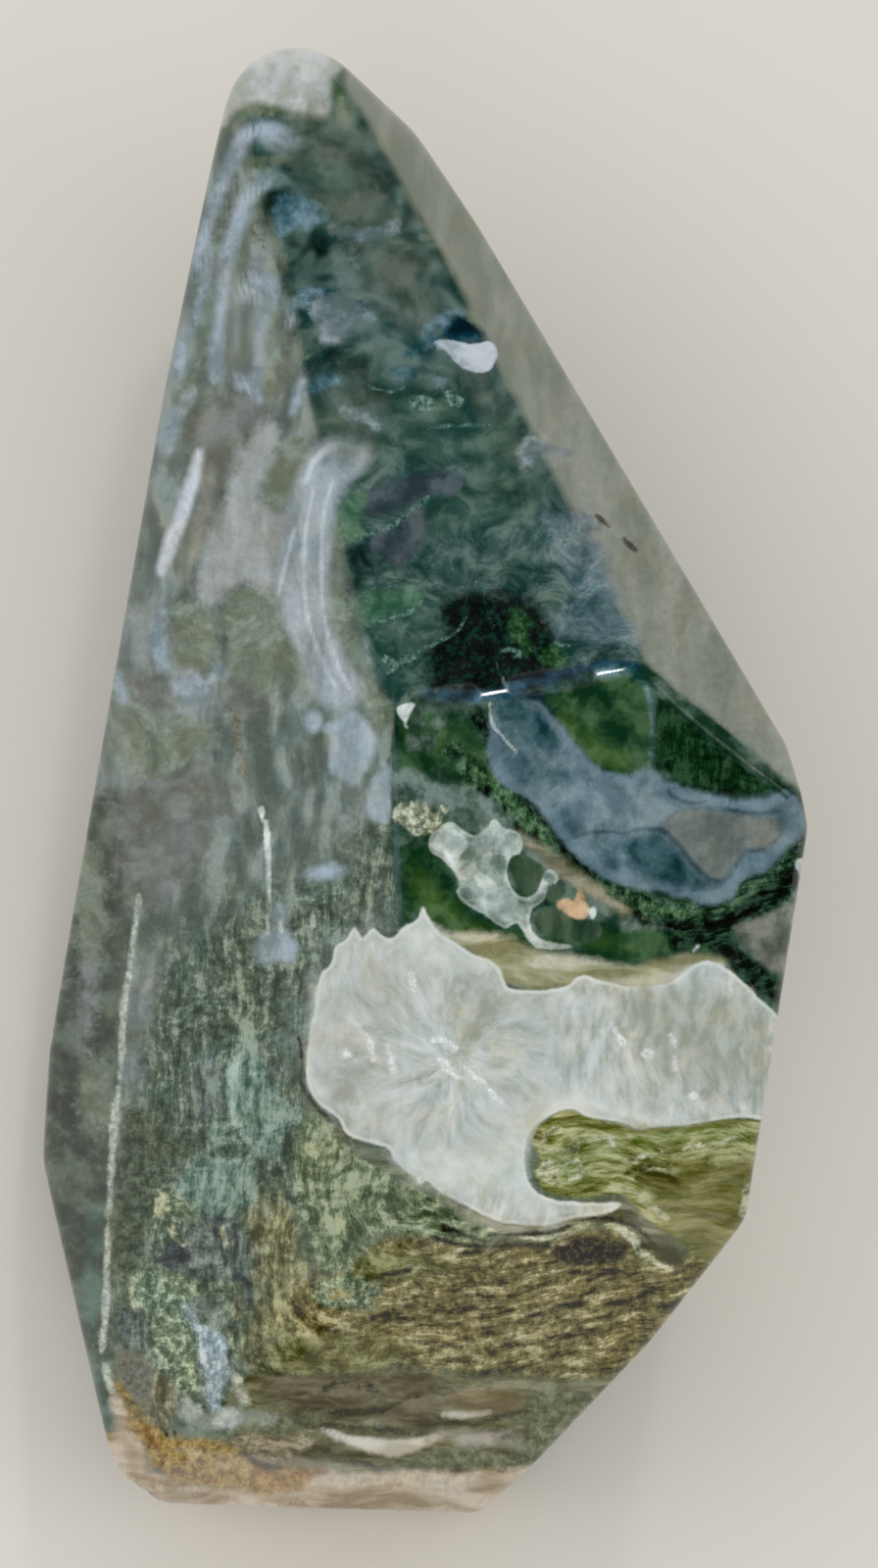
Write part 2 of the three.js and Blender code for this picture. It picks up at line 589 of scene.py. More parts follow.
minerals["flesh"] = {
    "tones": ((124, 106, 72), (152, 136, 108), (174, 162, 142), (186, 176, 160)),
    "texture": "softBed",
    "soft": 0.35,
    "ragged": 0.3,
    "marks": {
        "base": patch(
            (150, 1500), (200, 1512), (260, 1514), (320, 1504), (380, 1503), (470, 1502), (545, 1500),
            (590, 1510), (480, 1600), (280, 1600), (140, 1560), (90, 1490), (112, 1430), (128, 1430),
            (150, 1478)),
    },
}

minerals["ochre"] = {
    "tones": ((98, 72, 16), (130, 104, 46), (146, 122, 66), (162, 140, 90)),
    "texture": "granules",
    "soft": 0.4,
    "ragged": 0.35,
    "marks": {
        "corner": patch(
            (118, 1408), (130, 1420), (146, 1444), (160, 1460), (188, 1468), (216, 1470), (240, 1476),
            (262, 1492), (290, 1500), (322, 1502), (300, 1522), (250, 1522), (205, 1518), (176, 1512),
            (158, 1494), (138, 1458)),
    },
}

minerals["rustBed"] = {
    "tones": ((98, 66, 20), (124, 88, 44), (146, 116, 74)),
    "texture": "granules",
    "soft": 0.3,
    "ragged": 0.4,
    "strength": 0.8,
    "marks": {
        "stain": band((162, 1494, 4), (176, 1500, 9), (220, 1508, 6)),
        "rise": band((126, 1428, 5), (152, 1466, 6), (160, 1480, 4)),
        "low": band((256, 1502, 5), (280, 1508, 7), (330, 1502, 3)),
        "spot": spot(298, 1534, 12, 4),
        "chin": band((156, 1512, 4), (190, 1522, 4), (240, 1528, 3)),
    },
}

minerals["creamBed"] = {
    "tones": ((146, 132, 98), (170, 158, 130), (190, 180, 156)),
    "texture": "granules",
    "soft": 0.2,
    "ragged": 0.35,
    "strength": 0.5,
    "marks": {
        "streak": band((156, 1480, 4), (174, 1494, 6), (178, 1498, 3)),
        "knot": band((222, 1496, 3), (240, 1492, 5), (254, 1500, 5), (252, 1512, 4)),
        "top": band((176, 1478, 4), (196, 1482, 5), (214, 1478, 4)),
        "pale": band((330, 1514, 5), (420, 1511, 14), (450, 1510, 8), (480, 1508, 3)),
        "paleLow": band((120, 1500, 4), (150, 1516, 6), (200, 1524, 5)),
    },
}

# the left face: moss under a grey haze of painted reflection, with lavender chalcedony
minerals["greyHaze"] = {
    "tones": ((98, 108, 104), (116, 126, 126), (134, 144, 146)),
    "texture": "streak",
    "soft": 0.8,
    "ragged": 0.8,
    "strength": 0.8,
    "marks": {
        "top": patch(
            (216, 250), (240, 280), (288, 276), (284, 310), (262, 350), (258, 400), (232, 395), (212, 372),
            (206, 330)),
        "edge": band((206, 250, 16), (176, 390, 18), (166, 450, 16)),
        "low": patch((150, 600), (190, 640), (226, 690), (226, 730), (180, 730), (140, 700), (120, 660)),
        "corner": band((104, 800, 26), (120, 740, 22), (132, 640, 18)),
        "side": band((150, 980, 14), (142, 1040, 24), (136, 1100, 10)),
        "sideLow": band((92, 985, 14), (84, 1040, 18), (80, 1070, 10)),
        "vein": band((188, 790, 18), (186, 850, 22), (186, 890, 14)),
    },
}

minerals["brown"] = {
    "tones": ((84, 88, 80), (98, 104, 98), (118, 122, 120)),
    "texture": "cloud",
    "soft": 0.7,
    "ragged": 0.8,
    "strength": 0.85,
    "marks": {
        "belt": patch(
            (196, 420), (236, 395), (274, 400), (276, 430), (240, 462), (226, 520), (210, 560), (196, 470),
            (190, 445)),
        "tan": band((296, 336, 8), (286, 370, 11), (282, 410, 14), (268, 430, 14)),
        "core": patch((232, 690), (262, 686), (276, 706), (262, 726), (238, 728), (226, 712)),
        "leftCore": patch((140, 680), (170, 690), (176, 720), (160, 734), (138, 722)),
        "middle": patch((130, 800), (190, 770), (236, 800), (230, 840), (180, 910), (140, 930), (120, 860)),
    },
}

minerals["olive"] = {
    "tones": ((88, 98, 80), (106, 118, 100), (128, 142, 132)),
    "texture": "moss",
    "soft": 0.5,
    "ragged": 0.7,
    "strength": 0.85,
    "marks": {
        "tipBand": band(
            (316, 166, 10), (285, 164, 14), (266, 166, 14), (252, 182, 12), (222, 236, 8), (204, 290, 6)),
        "secondBand": band((270, 194, 6), (248, 254, 9), (240, 280, 7)),
        "outer": band((216, 300, 9), (198, 385, 13), (188, 420, 10)),
        "strip": band((281, 318, 11), (274, 396, 12)),
        "leaf": patch(
            (302, 440), (316, 456), (318, 478), (308, 502), (294, 520), (276, 522), (262, 510), (270, 484),
            (286, 456)),
        "moss": patch(
            (262, 592), (240, 604), (224, 628), (232, 650), (236, 690), (262, 700), (292, 706), (310, 692),
            (314, 664), (284, 612)),
        "leftMoss": patch((176, 620), (214, 626), (226, 650), (222, 676), (196, 684), (178, 668)),
        "lowLeft": patch((120, 700), (160, 730), (210, 736), (222, 752), (190, 780), (140, 790), (112, 760)),
        "stripMoss": patch((84, 860), (104, 880), (108, 960), (92, 980), (78, 960), (72, 900)),
        "glowSide": spot(102, 1118, 20, 36, 5),
        "underKidney": patch((372, 706), (388, 700), (396, 716), (392, 740), (380, 752), (374, 730)),
        "rimRight": band((342, 500, 6), (348, 590, 14), (350, 640, 20), (364, 672, 12), (378, 700, 8)),
    },
}

minerals["rust"] = {
    "tones": ((74, 70, 52), (98, 98, 78), (124, 122, 100)),
    "texture": "fine",
    "soft": 0.4,
    "ragged": 0.4,
    "strength": 0.8,
    "marks": {
        "streak": band((240, 730, 10), (244, 752, 12), (246, 772, 9), (244, 788, 5)),
        "corner": patch((436, 762), (452, 768), (458, 780), (446, 786), (436, 776)),
    },
}

minerals["lavender"] = {
    "tones": ((112, 128, 136), (138, 153, 162), (156, 171, 184)),
    "texture": "cloud",
    "soft": 0.38,
    "ragged": 0.15,
    "marks": {
        "tipBow": band(
            (322, 152, 6), (284, 139, 22), (262, 134, 20), (250, 140, 15), (240, 156, 14), (212, 228, 12),
            (198, 280, 6)),
        "secondBow": band(
            (276, 182, 8), (262, 192, 15), (250, 208, 17), (235, 250, 15), (230, 274, 12), (224, 328, 9),
            (221, 352, 14), (220, 372, 14), (218, 390, 5)),
        "third": band(
            (286, 284, 5), (276, 304, 9), (268, 324, 9), (265, 346, 8), (266, 368, 9), (262, 390, 9),
            (266, 412, 5)),
        "wash": spot(262, 292, 22, 12, -20),
        "edgeA": band((214, 268, 6), (206, 300, 9), (200, 326, 6)),
        "edgeB": band((190, 340, 6), (184, 366, 11), (178, 388, 6)),
        "edgeC": band((198, 398, 7), (190, 412, 11), (178, 430, 13), (172, 446, 13), (170, 464, 6)),
        "dab": band((312, 384, 6), (304, 402, 11), (298, 420, 6)),
        "spark": spot(298, 326, 6, 8),
        "ledge": patch((236, 384), (246, 398), (258, 402), (256, 394), (246, 382)),
        "midStar": patch(
            (178, 690), (200, 686), (210, 692), (222, 678), (226, 684), (216, 704), (204, 716), (190, 720),
            (178, 708)),
        "smear": band((166, 626, 10), (160, 650, 18), (168, 680, 14)),
        "corner": band((118, 690, 12), (126, 712, 10)),
        "small": patch(
            (262, 962), (272, 950), (282, 946), (296, 952), (304, 966), (298, 980), (282, 982), (266, 984),
            (260, 974)),
        "smallTop": spot(286, 934, 9, 12),
        "slab": spot(332, 890, 18, 7, -5),
    },
}

minerals["pebble"] = {  # pale rounded pieces below the kidney
    "tones": ((130, 144, 150), (146, 160, 169), (160, 173, 183)),
    "texture": "brush",
    "soft": 0.3,
    "ragged": 0.12,
    "marks": {
        "below": patch(
            (328, 742), (344, 736), (358, 726), (372, 734), (384, 754), (380, 772), (370, 790), (360, 804),
            (350, 794), (338, 788), (335, 770), (339, 756)),
        "beside": spot(320, 736, 9, 11),
        "ridge": patch((386, 788), (398, 782), (402, 800), (400, 832), (388, 840), (374, 832), (376, 808)),
    },
}

minerals["tufts"] = {
    "tones": ((66, 82, 62), (102, 120, 98), (134, 150, 124), (178, 188, 160)),
    "texture": "granules",
    "spread": (0.4, 0.66),
    "soft": 0.35,
    "ragged": 0.55,
    "strength": 0.9,
    "marks": {
        "fan": patch(
            (160, 1226), (168, 1212), (200, 1188), (226, 1180), (250, 1184), (246, 1204), (250, 1226),
            (238, 1240), (214, 1234), (196, 1236), (180, 1244), (164, 1240)),
        "spray": patch(
            (300, 1214), (320, 1210), (340, 1226), (356, 1246), (368, 1268), (378, 1290), (360, 1300),
            (340, 1296), (326, 1284), (312, 1256)),
        "cheek": patch(
            (130, 1300), (146, 1296), (196, 1302), (206, 1318), (186, 1330), (160, 1332), (140, 1330),
            (130, 1316)),
        "column": patch(
            (156, 1344), (184, 1338), (196, 1360), (200, 1392), (204, 1430), (186, 1424), (164, 1400),
            (158, 1370)),
        "edge": patch(
            (322, 1306), (346, 1300), (370, 1306), (388, 1318), (376, 1332), (346, 1334), (326, 1326)),
        "bank": patch(
            (336, 1140), (350, 1160), (372, 1180), (392, 1196), (380, 1204), (356, 1190), (338, 1166)),
    },
}

minerals["slate"] = {
    "tones": ((46, 56, 52), (72, 84, 80), (98, 110, 104), (124, 136, 128)),
    "texture": "lichen",
    "soft": 0.35,
    "ragged": 0.5,
    "strength": 0.9,
    "marks": {
        "low": patch(
            (204, 1238), (216, 1234), (248, 1252), (256, 1276), (258, 1292), (248, 1304), (236, 1304),
            (212, 1304), (200, 1292), (188, 1298), (168, 1296), (166, 1282), (176, 1268), (196, 1262)),
        "oval": patch((196, 1092), (212, 1074), (224, 1090), (226, 1130), (210, 1160), (196, 1150)),
        "haze": patch((120, 1340), (146, 1344), (152, 1366), (140, 1376), (122, 1372)),
    },
}

minerals["slateDark"] = {
    "tones": ((20, 30, 30), (40, 50, 54), (66, 76, 80)),
    "texture": "granules",
    "soft": 0.22,
    "ragged": 0.3,
    "strength": 0.85,
    "marks": {
        "under": band((166, 1290, 6), (196, 1298, 9), (206, 1304, 5)),
        "lobe": patch((168, 1270), (186, 1268), (196, 1276), (190, 1288), (172, 1288)),
        "peg": band((226, 1240, 5), (222, 1258, 3)),
        "notch": band((238, 1302, 5), (250, 1308, 6), (256, 1326, 7), (254, 1340, 4)),
    },
}

minerals["foot"] = {
    "tones": ((76, 76, 64), (98, 100, 90), (114, 116, 108)),
    "texture": "fine",
    "soft": 0.25,
    "ragged": 0.2,
    "rim": {"at": 0, "width": 0.35, "tone": (122, 126, 104), "strength": 0.5},
    "marks": {
        "oval": patch(
            (116, 1384), (128, 1377), (142, 1380), (152, 1390), (156, 1404), (158, 1428), (152, 1440),
            (142, 1436), (132, 1420), (120, 1404)),
    },
}

minerals["shard"] = {  # the clear blue-white crystal by the lower left corner
    "tones": ((112, 130, 134), (142, 158, 164), (176, 190, 196)),
    "texture": "granules",
    "soft": 0.3,
    "ragged": 0.25,
    "strength": 0.85,
    "marks": {
        "crystal": patch(
            (198, 1334), (206, 1352), (226, 1362), (231, 1380), (234, 1402), (226, 1416), (222, 1430),
            (228, 1442), (214, 1436), (210, 1412), (205, 1392), (201, 1366), (192, 1346), (184, 1330)),
    },
}

minerals["shardEdge"] = {
    "tones": ((164, 180, 186), (190, 204, 208), (214, 224, 226)),
    "texture": "granules",
    "soft": 0.12,
    "ragged": 0.1,
    "strength": 0.8,
    "marks": {
        "left": band(
            (200, 1346, 2), (204, 1362, 4), (206, 1378, 4), (210, 1392, 5), (220, 1396, 4), (230, 1388, 4)),
        "top": band((202, 1348, 2), (212, 1357, 3), (220, 1358, 3), (226, 1370, 3), (228, 1384, 4)),
        "tail": band((222, 1400, 4), (226, 1430, 3)),
    },
}

minerals["veilLow"] = {
    "tones": ((120, 130, 120), (154, 160, 150), (180, 184, 178)),
    "texture": "cloud",
    "soft": 0.4,
    "ragged": 0.4,
    "strength": 0.95,
    "marks": {
        "drape": patch(
            (182, 1434), (194, 1426), (202, 1440), (216, 1446), (236, 1438), (262, 1440), (280, 1444),
            (270, 1452), (240, 1456), (214, 1460), (186, 1450)),
        "stem": band((196, 1320, 4), (216, 1346, 8), (226, 1352, 5)),
        "side": band((236, 1398, 4), (252, 1432, 4)),
    },
}

minerals["wash"] = {
    "tones": ((132, 138, 136), (148, 154, 154), (160, 166, 168)),
    "texture": "brush",
    "soft": 0.55,
    "ragged": 0.4,
    "strength": 0.9,
    "marks": {
        "veil": patch(
            (283, 430), (262, 440), (246, 462), (232, 505), (214, 550), (204, 590), (206, 614), (222, 614),
            (240, 598), (283, 603), (302, 640), (312, 600), (306, 560), (302, 520), (284, 526), (268, 515),
            (266, 500), (284, 445)),
    },
}

minerals["kidney"] = {
    "tones": ((124, 136, 140), (148, 159, 165), (164, 175, 183)),
    "texture": "brush",
    "soft": 0.5,
    "ragged": 0.12,
    "marks": {
        "kidney": patch(
            (328, 452), (350, 446), (372, 454), (378, 468), (366, 484), (350, 498), (342, 530), (335, 578),
            (335, 626), (343, 652), (360, 682), (370, 702), (360, 717), (338, 722), (320, 704), (306, 668),
            (290, 634), (278, 604), (288, 556), (296, 510), (310, 474)),
    },
}

minerals["kidneyStripe"] = {
    "tones": ((112, 122, 122), (128, 138, 138), (142, 150, 152)),
    "texture": "brush",
    "soft": 0.35,
    "ragged": 0.15,
    "strength": 0.6,
    "marks": {
        "inner": band((326, 488, 5), (318, 530, 7), (318, 626, 7), (330, 668, 6), (344, 694, 4)),
        "outer": band((306, 510, 4), (298, 550, 6), (294, 590, 6), (300, 630, 5), (314, 664, 4)),
    },
}

minerals["kidneyGlow"] = {
    "tones": ((170, 182, 189), (188, 199, 206), (200, 209, 217)),
    "texture": "brush",
    "soft": 0.16,
    "ragged": 0.08,
    "strength": 0.75,
    "marks": {
        "side": band(
            (340, 490, 2), (331, 520, 3), (328, 560, 3), (328, 600, 3), (333, 640, 3), (344, 676, 4),
            (356, 702, 3)),
        "inner": band(
            (320, 500, 2), (312, 540, 2), (310, 590, 2), (314, 630, 3), (328, 672, 3), (342, 700, 2)),
        "head": band((312, 492, 4), (322, 468, 6), (344, 454, 7), (364, 458, 5)),
        "outer": band((300, 540, 4), (284, 606, 4)),
    },
}

# a painted highlight: the reflection of a bright window on the left face, as a pale blue-white streak
minerals["streakLight"] = {
    "tones": ((158, 166, 170), (184, 192, 200), (200, 208, 218)),
    "texture": "cloud",
    "soft": 0.3,
    "ragged": 0.05,
    "strength": 0.9,
    "marks": {
        "shine": band((203, 462, 8), (197, 490, 14), (174, 556, 15), (164, 584, 9)),
    },
}

minerals["tanStreak"] = {
    "tones": ((122, 122, 110), (138, 138, 126), (152, 152, 142)),
    "texture": "streak",
    "soft": 0.5,
    "ragged": 0.2,
    "strength": 0.75,
    "marks": {
        "beside": band((214, 480, 8), (206, 520, 14), (194, 560, 16), (184, 592, 10)),
    },
}

# the tip
minerals["milk"] = {
    "tones": ((154, 160, 154), (171, 176, 173), (190, 195, 194)),
    "texture": "cloud",
    "soft": 0.4,
    "ragged": 0.15,
    "marks": {
        "cap": patch(
            (226, 128), (240, 114), (252, 106), (268, 105), (316, 119), (333, 121), (338, 104), (341, 80),
            (352, 66), (372, 76), (390, 92), (380, 60), (340, 20), (260, 20), (210, 70), (205, 130)),
    },
}

# the milky cap's own colour, with a painted highlight along its crest
minerals["milkBright"] = {
    "tones": ((186, 194, 200), (196, 204, 210), (206, 212, 216)),
    "texture": "cloud",
    "soft": 0.5,
    "ragged": 0.2,
    "strength": 0.75,
    "marks": {
        "crest": band((252, 62, 12), (272, 50, 14), (300, 46, 12), (326, 54, 8)),
        "fold": band((286, 60, 10), (286, 74, 10), (278, 86, 7), (256, 88, 6)),
    },
}

minerals["tipLine"] = {
    "tones": ((72, 92, 62), (96, 112, 84), (124, 136, 116)),
    "texture": "cloud",
    "soft": 0.4,
    "ragged": 0.12,
    "marks": {
        "line": band((238, 134, 4), (245, 121, 8), (268, 112, 9), (334, 127, 8)),
        "spike": band((343, 80, 5), (352, 124, 18)),
    },
}

# the crown face
minerals["deep"] = {
    "tones": ((6, 18, 16), (24, 44, 40), (54, 76, 70)),
    "texture": "moss",
    "soft": 0.5,
    "ragged": 0.6,
    "strength": 0.8,
    "marks": {
        "tipDark": band((330, 150, 24), (350, 150, 26), (378, 186, 30), (398, 212, 22)),
        "tipDarkB": patch((318, 192), (340, 188), (372, 200), (402, 214), (404, 226), (366, 222), (344, 226)),
        "eye": band((284, 198, 10), (272, 210, 16), (269, 226, 17), (270, 240, 10)),
        "hollow": patch(
            (290, 250), (306, 240), (332, 240), (338, 262), (336, 290), (312, 292), (294, 300), (286, 284)),
        "right": patch((396, 246), (420, 254), (446, 290), (440, 310), (408, 300), (388, 276)),
        "holeA": spot(310, 343, 13, 10),
        "holeB": patch((334, 356), (352, 352), (384, 376), (364, 384), (344, 380), (332, 370)),
        "holeC": spot(318, 376, 10, 12),
        "line": band((358, 438, 4), (384, 448, 4)),
        "mid": patch((372, 392), (398, 402), (396, 422), (378, 420), (364, 408)),
        "under": band((470, 502, 8), (510, 500, 10), (550, 506, 8)),
        "left": patch((350, 566), (372, 560), (384, 580), (372, 600), (354, 606), (346, 586)),
    },
}

minerals["crownHaze"] = {
    "tones": ((62, 76, 66), (80, 93, 83), (100, 110, 102)),
    "texture": "cloud",
    "soft": 1.4,
    "ragged": 0.8,
    "strength": 0.75,
    "marks": {
        "top": patch(
            (290, 128), (345, 116), (392, 186), (430, 262), (450, 330), (410, 330), (372, 290), (350, 240),
            (310, 196)),
        "side": band((470, 360, 20), (550, 500, 20)),
        "mid": patch((330, 400), (372, 388), (396, 430), (372, 470), (336, 470)),
    },
}

minerals["crownMoss"] = {
    "tones": ((36, 66, 56), (54, 82, 72), (76, 102, 90)),
    "texture": "moss",
    "soft": 0.6,
    "ragged": 0.7,
    "strength": 0.55,
    "marks": {
        "top": patch((318, 168), (348, 164), (356, 184), (340, 196), (318, 190)),
        "bright": patch(
            (400, 400), (440, 410), (480, 420), (520, 432), (520, 470), (480, 470), (430, 470), (390, 462),
            (384, 430)),
        "mid": patch((440, 500), (480, 480), (540, 470), (560, 500), (540, 530), (480, 540), (440, 545)),
        "lower": patch(
            (360, 600), (404, 600), (432, 606), (470, 620), (460, 640), (420, 660), (380, 672), (366, 640)),
        "lowLeft": patch((384, 672), (440, 664), (452, 690), (430, 704), (394, 706)),
    },
}

minerals["bowl"] = {
    "tones": ((0, 0, 0), (0, 16, 10), (20, 46, 36)),
    "texture": "granules",
    "soft": 0.6,
    "ragged": 0.5,
    "strength": 0.95,
    "marks": {
        "hollow": patch(
            (446, 620), (474, 606), (526, 604), (550, 616), (562, 640), (566, 680), (556, 704), (500, 706),
            (452, 706), (436, 692), (440, 660), (456, 642)),
        "rim": band((560, 690, 10), (590, 684, 12), (620, 676, 8)),
    },
}

minerals["purple"] = {
    "tones": ((44, 54, 60), (60, 70, 76), (80, 90, 96)),
    "texture": "cloud",
    "soft": 0.35,
    "ragged": 0.25,
    "strength": 0.92,
    "marks": {
        "upper": patch(
            (372, 506), (398, 492), (430, 482), (462, 482), (476, 492), (462, 504), (436, 506), (388, 528),
            (374, 524)),
        "lower": patch(
            (384, 546), (404, 536), (420, 522), (431, 520), (435, 540), (428, 560), (408, 578), (380, 562)),
    },
}

minerals["blue"] = {
    "tones": ((26, 66, 74), (74, 104, 114), (110, 138, 152)),
    "texture": "cloud",
    "soft": 0.4,
    "ragged": 0.5,
    "strength": 0.9,
    "marks": {
        "cloud": patch(
            (284, 206), (300, 200), (334, 218), (322, 228), (300, 234), (284, 240), (276, 238), (282, 224)),
        "arc": band((296, 316, 8), (308, 304, 12), (326, 300, 14), (348, 304, 12), (366, 318, 8)),
        "low": band((316, 398, 10), (330, 392, 12), (340, 388, 8)),
        "pitGlow": band((440, 334, 8), (456, 326, 12), (470, 322, 8)),
        "pitTail": band((406, 362, 6), (446, 346, 7)),
        "mist": band((404, 380, 8), (430, 382, 10), (452, 390, 6)),
    },
}

minerals["wisps"] = {
    "tones": ((88, 104, 106), (116, 129, 134), (150, 162, 166)),
    "texture": "cloud",
    "soft": 0.35,
    "ragged": 0.4,
    "strength": 0.8,
    "marks": {
        "block": patch(
            (322, 306), (344, 300), (364, 312), (364, 330), (352, 346), (338, 352), (326, 344), (318, 324)),
        "one": band((338, 236, 8), (376, 242, 12), (400, 232, 11)),
        "two": band((340, 254, 5), (352, 264, 7), (368, 270, 7)),
        "three": band((366, 300, 8), (352, 292, 10), (360, 312, 10), (380, 326, 8)),
        "pale": band((352, 420, 8), (368, 424, 8), (384, 434, 6)),
        "stalk": band((284, 250, 6), (270, 256, 7), (262, 268, 8), (258, 282, 6)),
        "ridgeTop": patch(
            (534, 450), (546, 446), (560, 448), (574, 456), (580, 464), (562, 464), (548, 470), (536, 478),
            (528, 468)),
        "ridgeLow": patch((574, 552), (584, 545), (590, 552), (582, 566), (572, 562)),
        "ridgeMist": patch((590, 560), (606, 556), (618, 580), (624, 606), (610, 600), (598, 584)),
    },
}

minerals["ridgeMist"] = {
    "tones": ((58, 82, 86), (88, 108, 114), (124, 138, 144)),
    "texture": "moss",
    "soft": 0.5,
    "ragged": 0.6,
    "strength": 0.85,
    "marks": {
        "upper": patch(
            (556, 530), (580, 524), (604, 532), (616, 560), (624, 590), (632, 616), (606, 616), (586, 600),
            (568, 574)),
        "lower": patch(
            (560, 626), (580, 614), (610, 612), (634, 626), (650, 646), (654, 668), (634, 664), (604, 652),
            (572, 646)),
    },
}

minerals["ridgeTeal"] = {
    "tones": ((4, 34, 50), (24, 64, 86), (62, 98, 122)),
    "texture": "cloud",
    "soft": 0.3,
    "ragged": 0.25,
    "strength": 0.9,
    "marks": {
        "right": band((520, 703, 8), (590, 686, 15), (620, 680, 15), (650, 682, 8)),
        "left": band((430, 706, 6), (464, 711, 11), (500, 711, 9), (540, 710, 9), (556, 716, 6)),
    },
}

minerals["leaf"] = {
    "tones": ((44, 82, 60), (72, 108, 82), (102, 132, 108)),
    "texture": "cloud",
    "soft": 0.25,
    "ragged": 0.3,
    "strength": 0.7,
    "marks": {
        "left": patch(
            (344, 520), (352, 508), (366, 500), (374, 508), (366, 528), (374, 546), (356, 552), (346, 546),
            (342, 532)),
        "teal": patch(
            (366, 616), (384, 602), (404, 602), (424, 598), (431, 608), (424, 622), (400, 628), (382, 634),
            (368, 640)),
    },
}

minerals["leafDeep"] = {
    "tones": ((16, 50, 24), (38, 74, 44), (66, 100, 68)),
    "texture": "granules",
    "soft": 0.35,
    "ragged": 0.3,
    "strength": 0.8,
    "marks": {
        "glow": patch(
            (524, 620), (534, 620), (540, 632), (538, 648), (545, 664), (534, 668), (524, 656), (520, 640)),
        "glowB": patch((560, 660), (574, 664), (580, 676), (564, 680), (552, 674)),
    },
}

minerals["threads"] = {
    "tones": ((20, 56, 48), (84, 118, 108), (130, 154, 144)),
    "texture": "fine",
    "soft": 0.1,
    "ragged": 0.12,
    "strength": 0.75,
    "marks": {
        "first": band((346, 556, 2), (384, 542, 4), (404, 534, 4), (440, 505, 2)),
        "second": band((432, 608, 2), (424, 622, 3), (402, 630, 3), (380, 636, 3), (366, 644, 2)),
        "third": band((476, 630, 2), (464, 646, 3), (446, 655, 3), (424, 667, 3), (400, 677, 3)),
        "fourth": band((392, 672, 8), (404, 680, 7), (396, 686, 5)),
        "fifth": band((408, 676, 3), (424, 672, 4)),
        "sixth": band((510, 664, 3), (522, 662, 4), (532, 668, 4), (524, 672, 3)),
        "seventh": band((529, 620, 2), (536, 628, 3)),
        "eighth": band((500, 632, 2), (503, 640, 2)),
        "ninth": band((506, 676, 2), (516, 700, 2)),
        "tenth": band((560, 632, 2), (574, 634, 3)),
        "eleventh": band((566, 656, 3), (584, 660, 3)),
        "twelfth": band((600, 606, 2), (606, 600, 4), (614, 594, 2)),
        "thirteenth": band((574, 555, 2), (580, 547, 4), (590, 543, 2)),
        "creamA": patch((454, 398), (466, 402), (476, 412), (464, 416), (456, 408)),
        "creamB": spot(432, 412, 14, 8, 10),
        "fourteenth": band((376, 394, 2), (396, 400, 4), (412, 396, 2)),
        "fifteenth": band((434, 438, 2), (470, 433, 3), (510, 436, 2)),
        "sixteenth": band((302, 372, 4), (312, 366, 5), (318, 363, 2)),
    },
}

# painted shade: the dark inside of a small pit in the crown face
minerals["pit"] = {
    "tones": ((2, 30, 38), (14, 52, 64), (50, 88, 104)),
    "texture": "cloud",
    "soft": 0.22,
    "ragged": 0.2,
    "marks": {
        "hole": patch(
            (452, 340), (462, 332), (470, 322), (492, 338), (494, 346), (478, 348), (464, 349), (454, 346)),
    },
}

# a painted reflection: a bright window seen white on the lower lip of the small pit
minerals["porcelain"] = {
    "tones": ((150, 160, 166), (176, 185, 192), (186, 196, 202)),
    "texture": "cloud",
    "soft": 0.1,
    "ragged": 0.08,
    "marks": {
        "glint": patch(
            (442, 353), (448, 347), (460, 347), (474, 350), (488, 351), (496, 348), (503, 350), (507, 360),
            (504, 371), (496, 379), (482, 379), (470, 374), (455, 358), (446, 357)),
    },
}

# the front faces: dark green glass round a blue pool
minerals["greenGlass"] = {
    "tones": ((20, 46, 28), (38, 68, 44), (62, 90, 62)),
    "texture": "cloud",
    "soft": 0.25,
    "ragged": 0.08,
    "marks": {
        "window": patch(
            (552, 712), (574, 706), (604, 698), (640, 690), (656, 700), (663, 724), (665, 752), (662, 778),
            (636, 790), (618, 786), (602, 774), (588, 752), (562, 720)),
        "corner": patch(
            (404, 730), (430, 726), (460, 730), (482, 742), (494, 760), (500, 790), (516, 806), (500, 812),
            (470, 796), (440, 786), (404, 784)),
        "olive": patch(
            (410, 868), (440, 868), (458, 882), (464, 904), (474, 928), (508, 946), (528, 946), (544, 966),
            (500, 976), (460, 958), (440, 936), (428, 926), (410, 944)),
        "wedge": patch(
            (600, 944), (650, 948), (700, 950), (740, 950), (730, 968), (700, 972), (640, 984), (600, 976)),
    },
}

minerals["windowGlow"] = {
    "tones": ((44, 74, 34), (58, 86, 42), (76, 102, 58)),
    "texture": "cloud",
    "soft": 0.7,
    "ragged": 0.6,
    "strength": 0.75,
    "marks": {
        "window": band((572, 730, 10), (612, 768, 24), (634, 776, 16)),
        "olive": band((424, 894, 20), (444, 920, 26), (476, 944, 18), (510, 960, 14)),
        "corner": band((420, 752, 16), (450, 756, 16), (476, 776, 12)),
        "low": band((560, 968, 10), (600, 958, 12), (650, 968, 10)),
    },
}

# a painted reflection: the pale sheen along the rounded ridge below the crown
minerals["ridgeSheen"] = {
    "tones": ((20, 58, 50), (52, 92, 90), (110, 142, 146)),
    "texture": "cloud",
    "soft": 0.2,
    "ragged": 0.1,
    "strength": 0.7,
    "marks": {
        "top": band(
            (556, 706, 6), (580, 696, 9), (606, 688, 10), (636, 684, 9), (654, 692, 8), (664, 708, 7),
            (668, 736, 6), (666, 770, 5)),
    },
}

minerals["mossBand"] = {
    "tones": ((0, 12, 2), (34, 60, 40), (80, 106, 84)),
    "texture": "lichen",
    "soft": 0.2,
    "ragged": 0.35,
    "marks": {
        "band": band(
            (462, 764, 20), (488, 792, 24), (546, 846, 30), (574, 874, 26), (606, 902, 24), (650, 922, 26),
            (700, 936, 34), (748, 928, 44), (788, 904, 44), (814, 876, 26), (824, 850, 14)),
    },
}

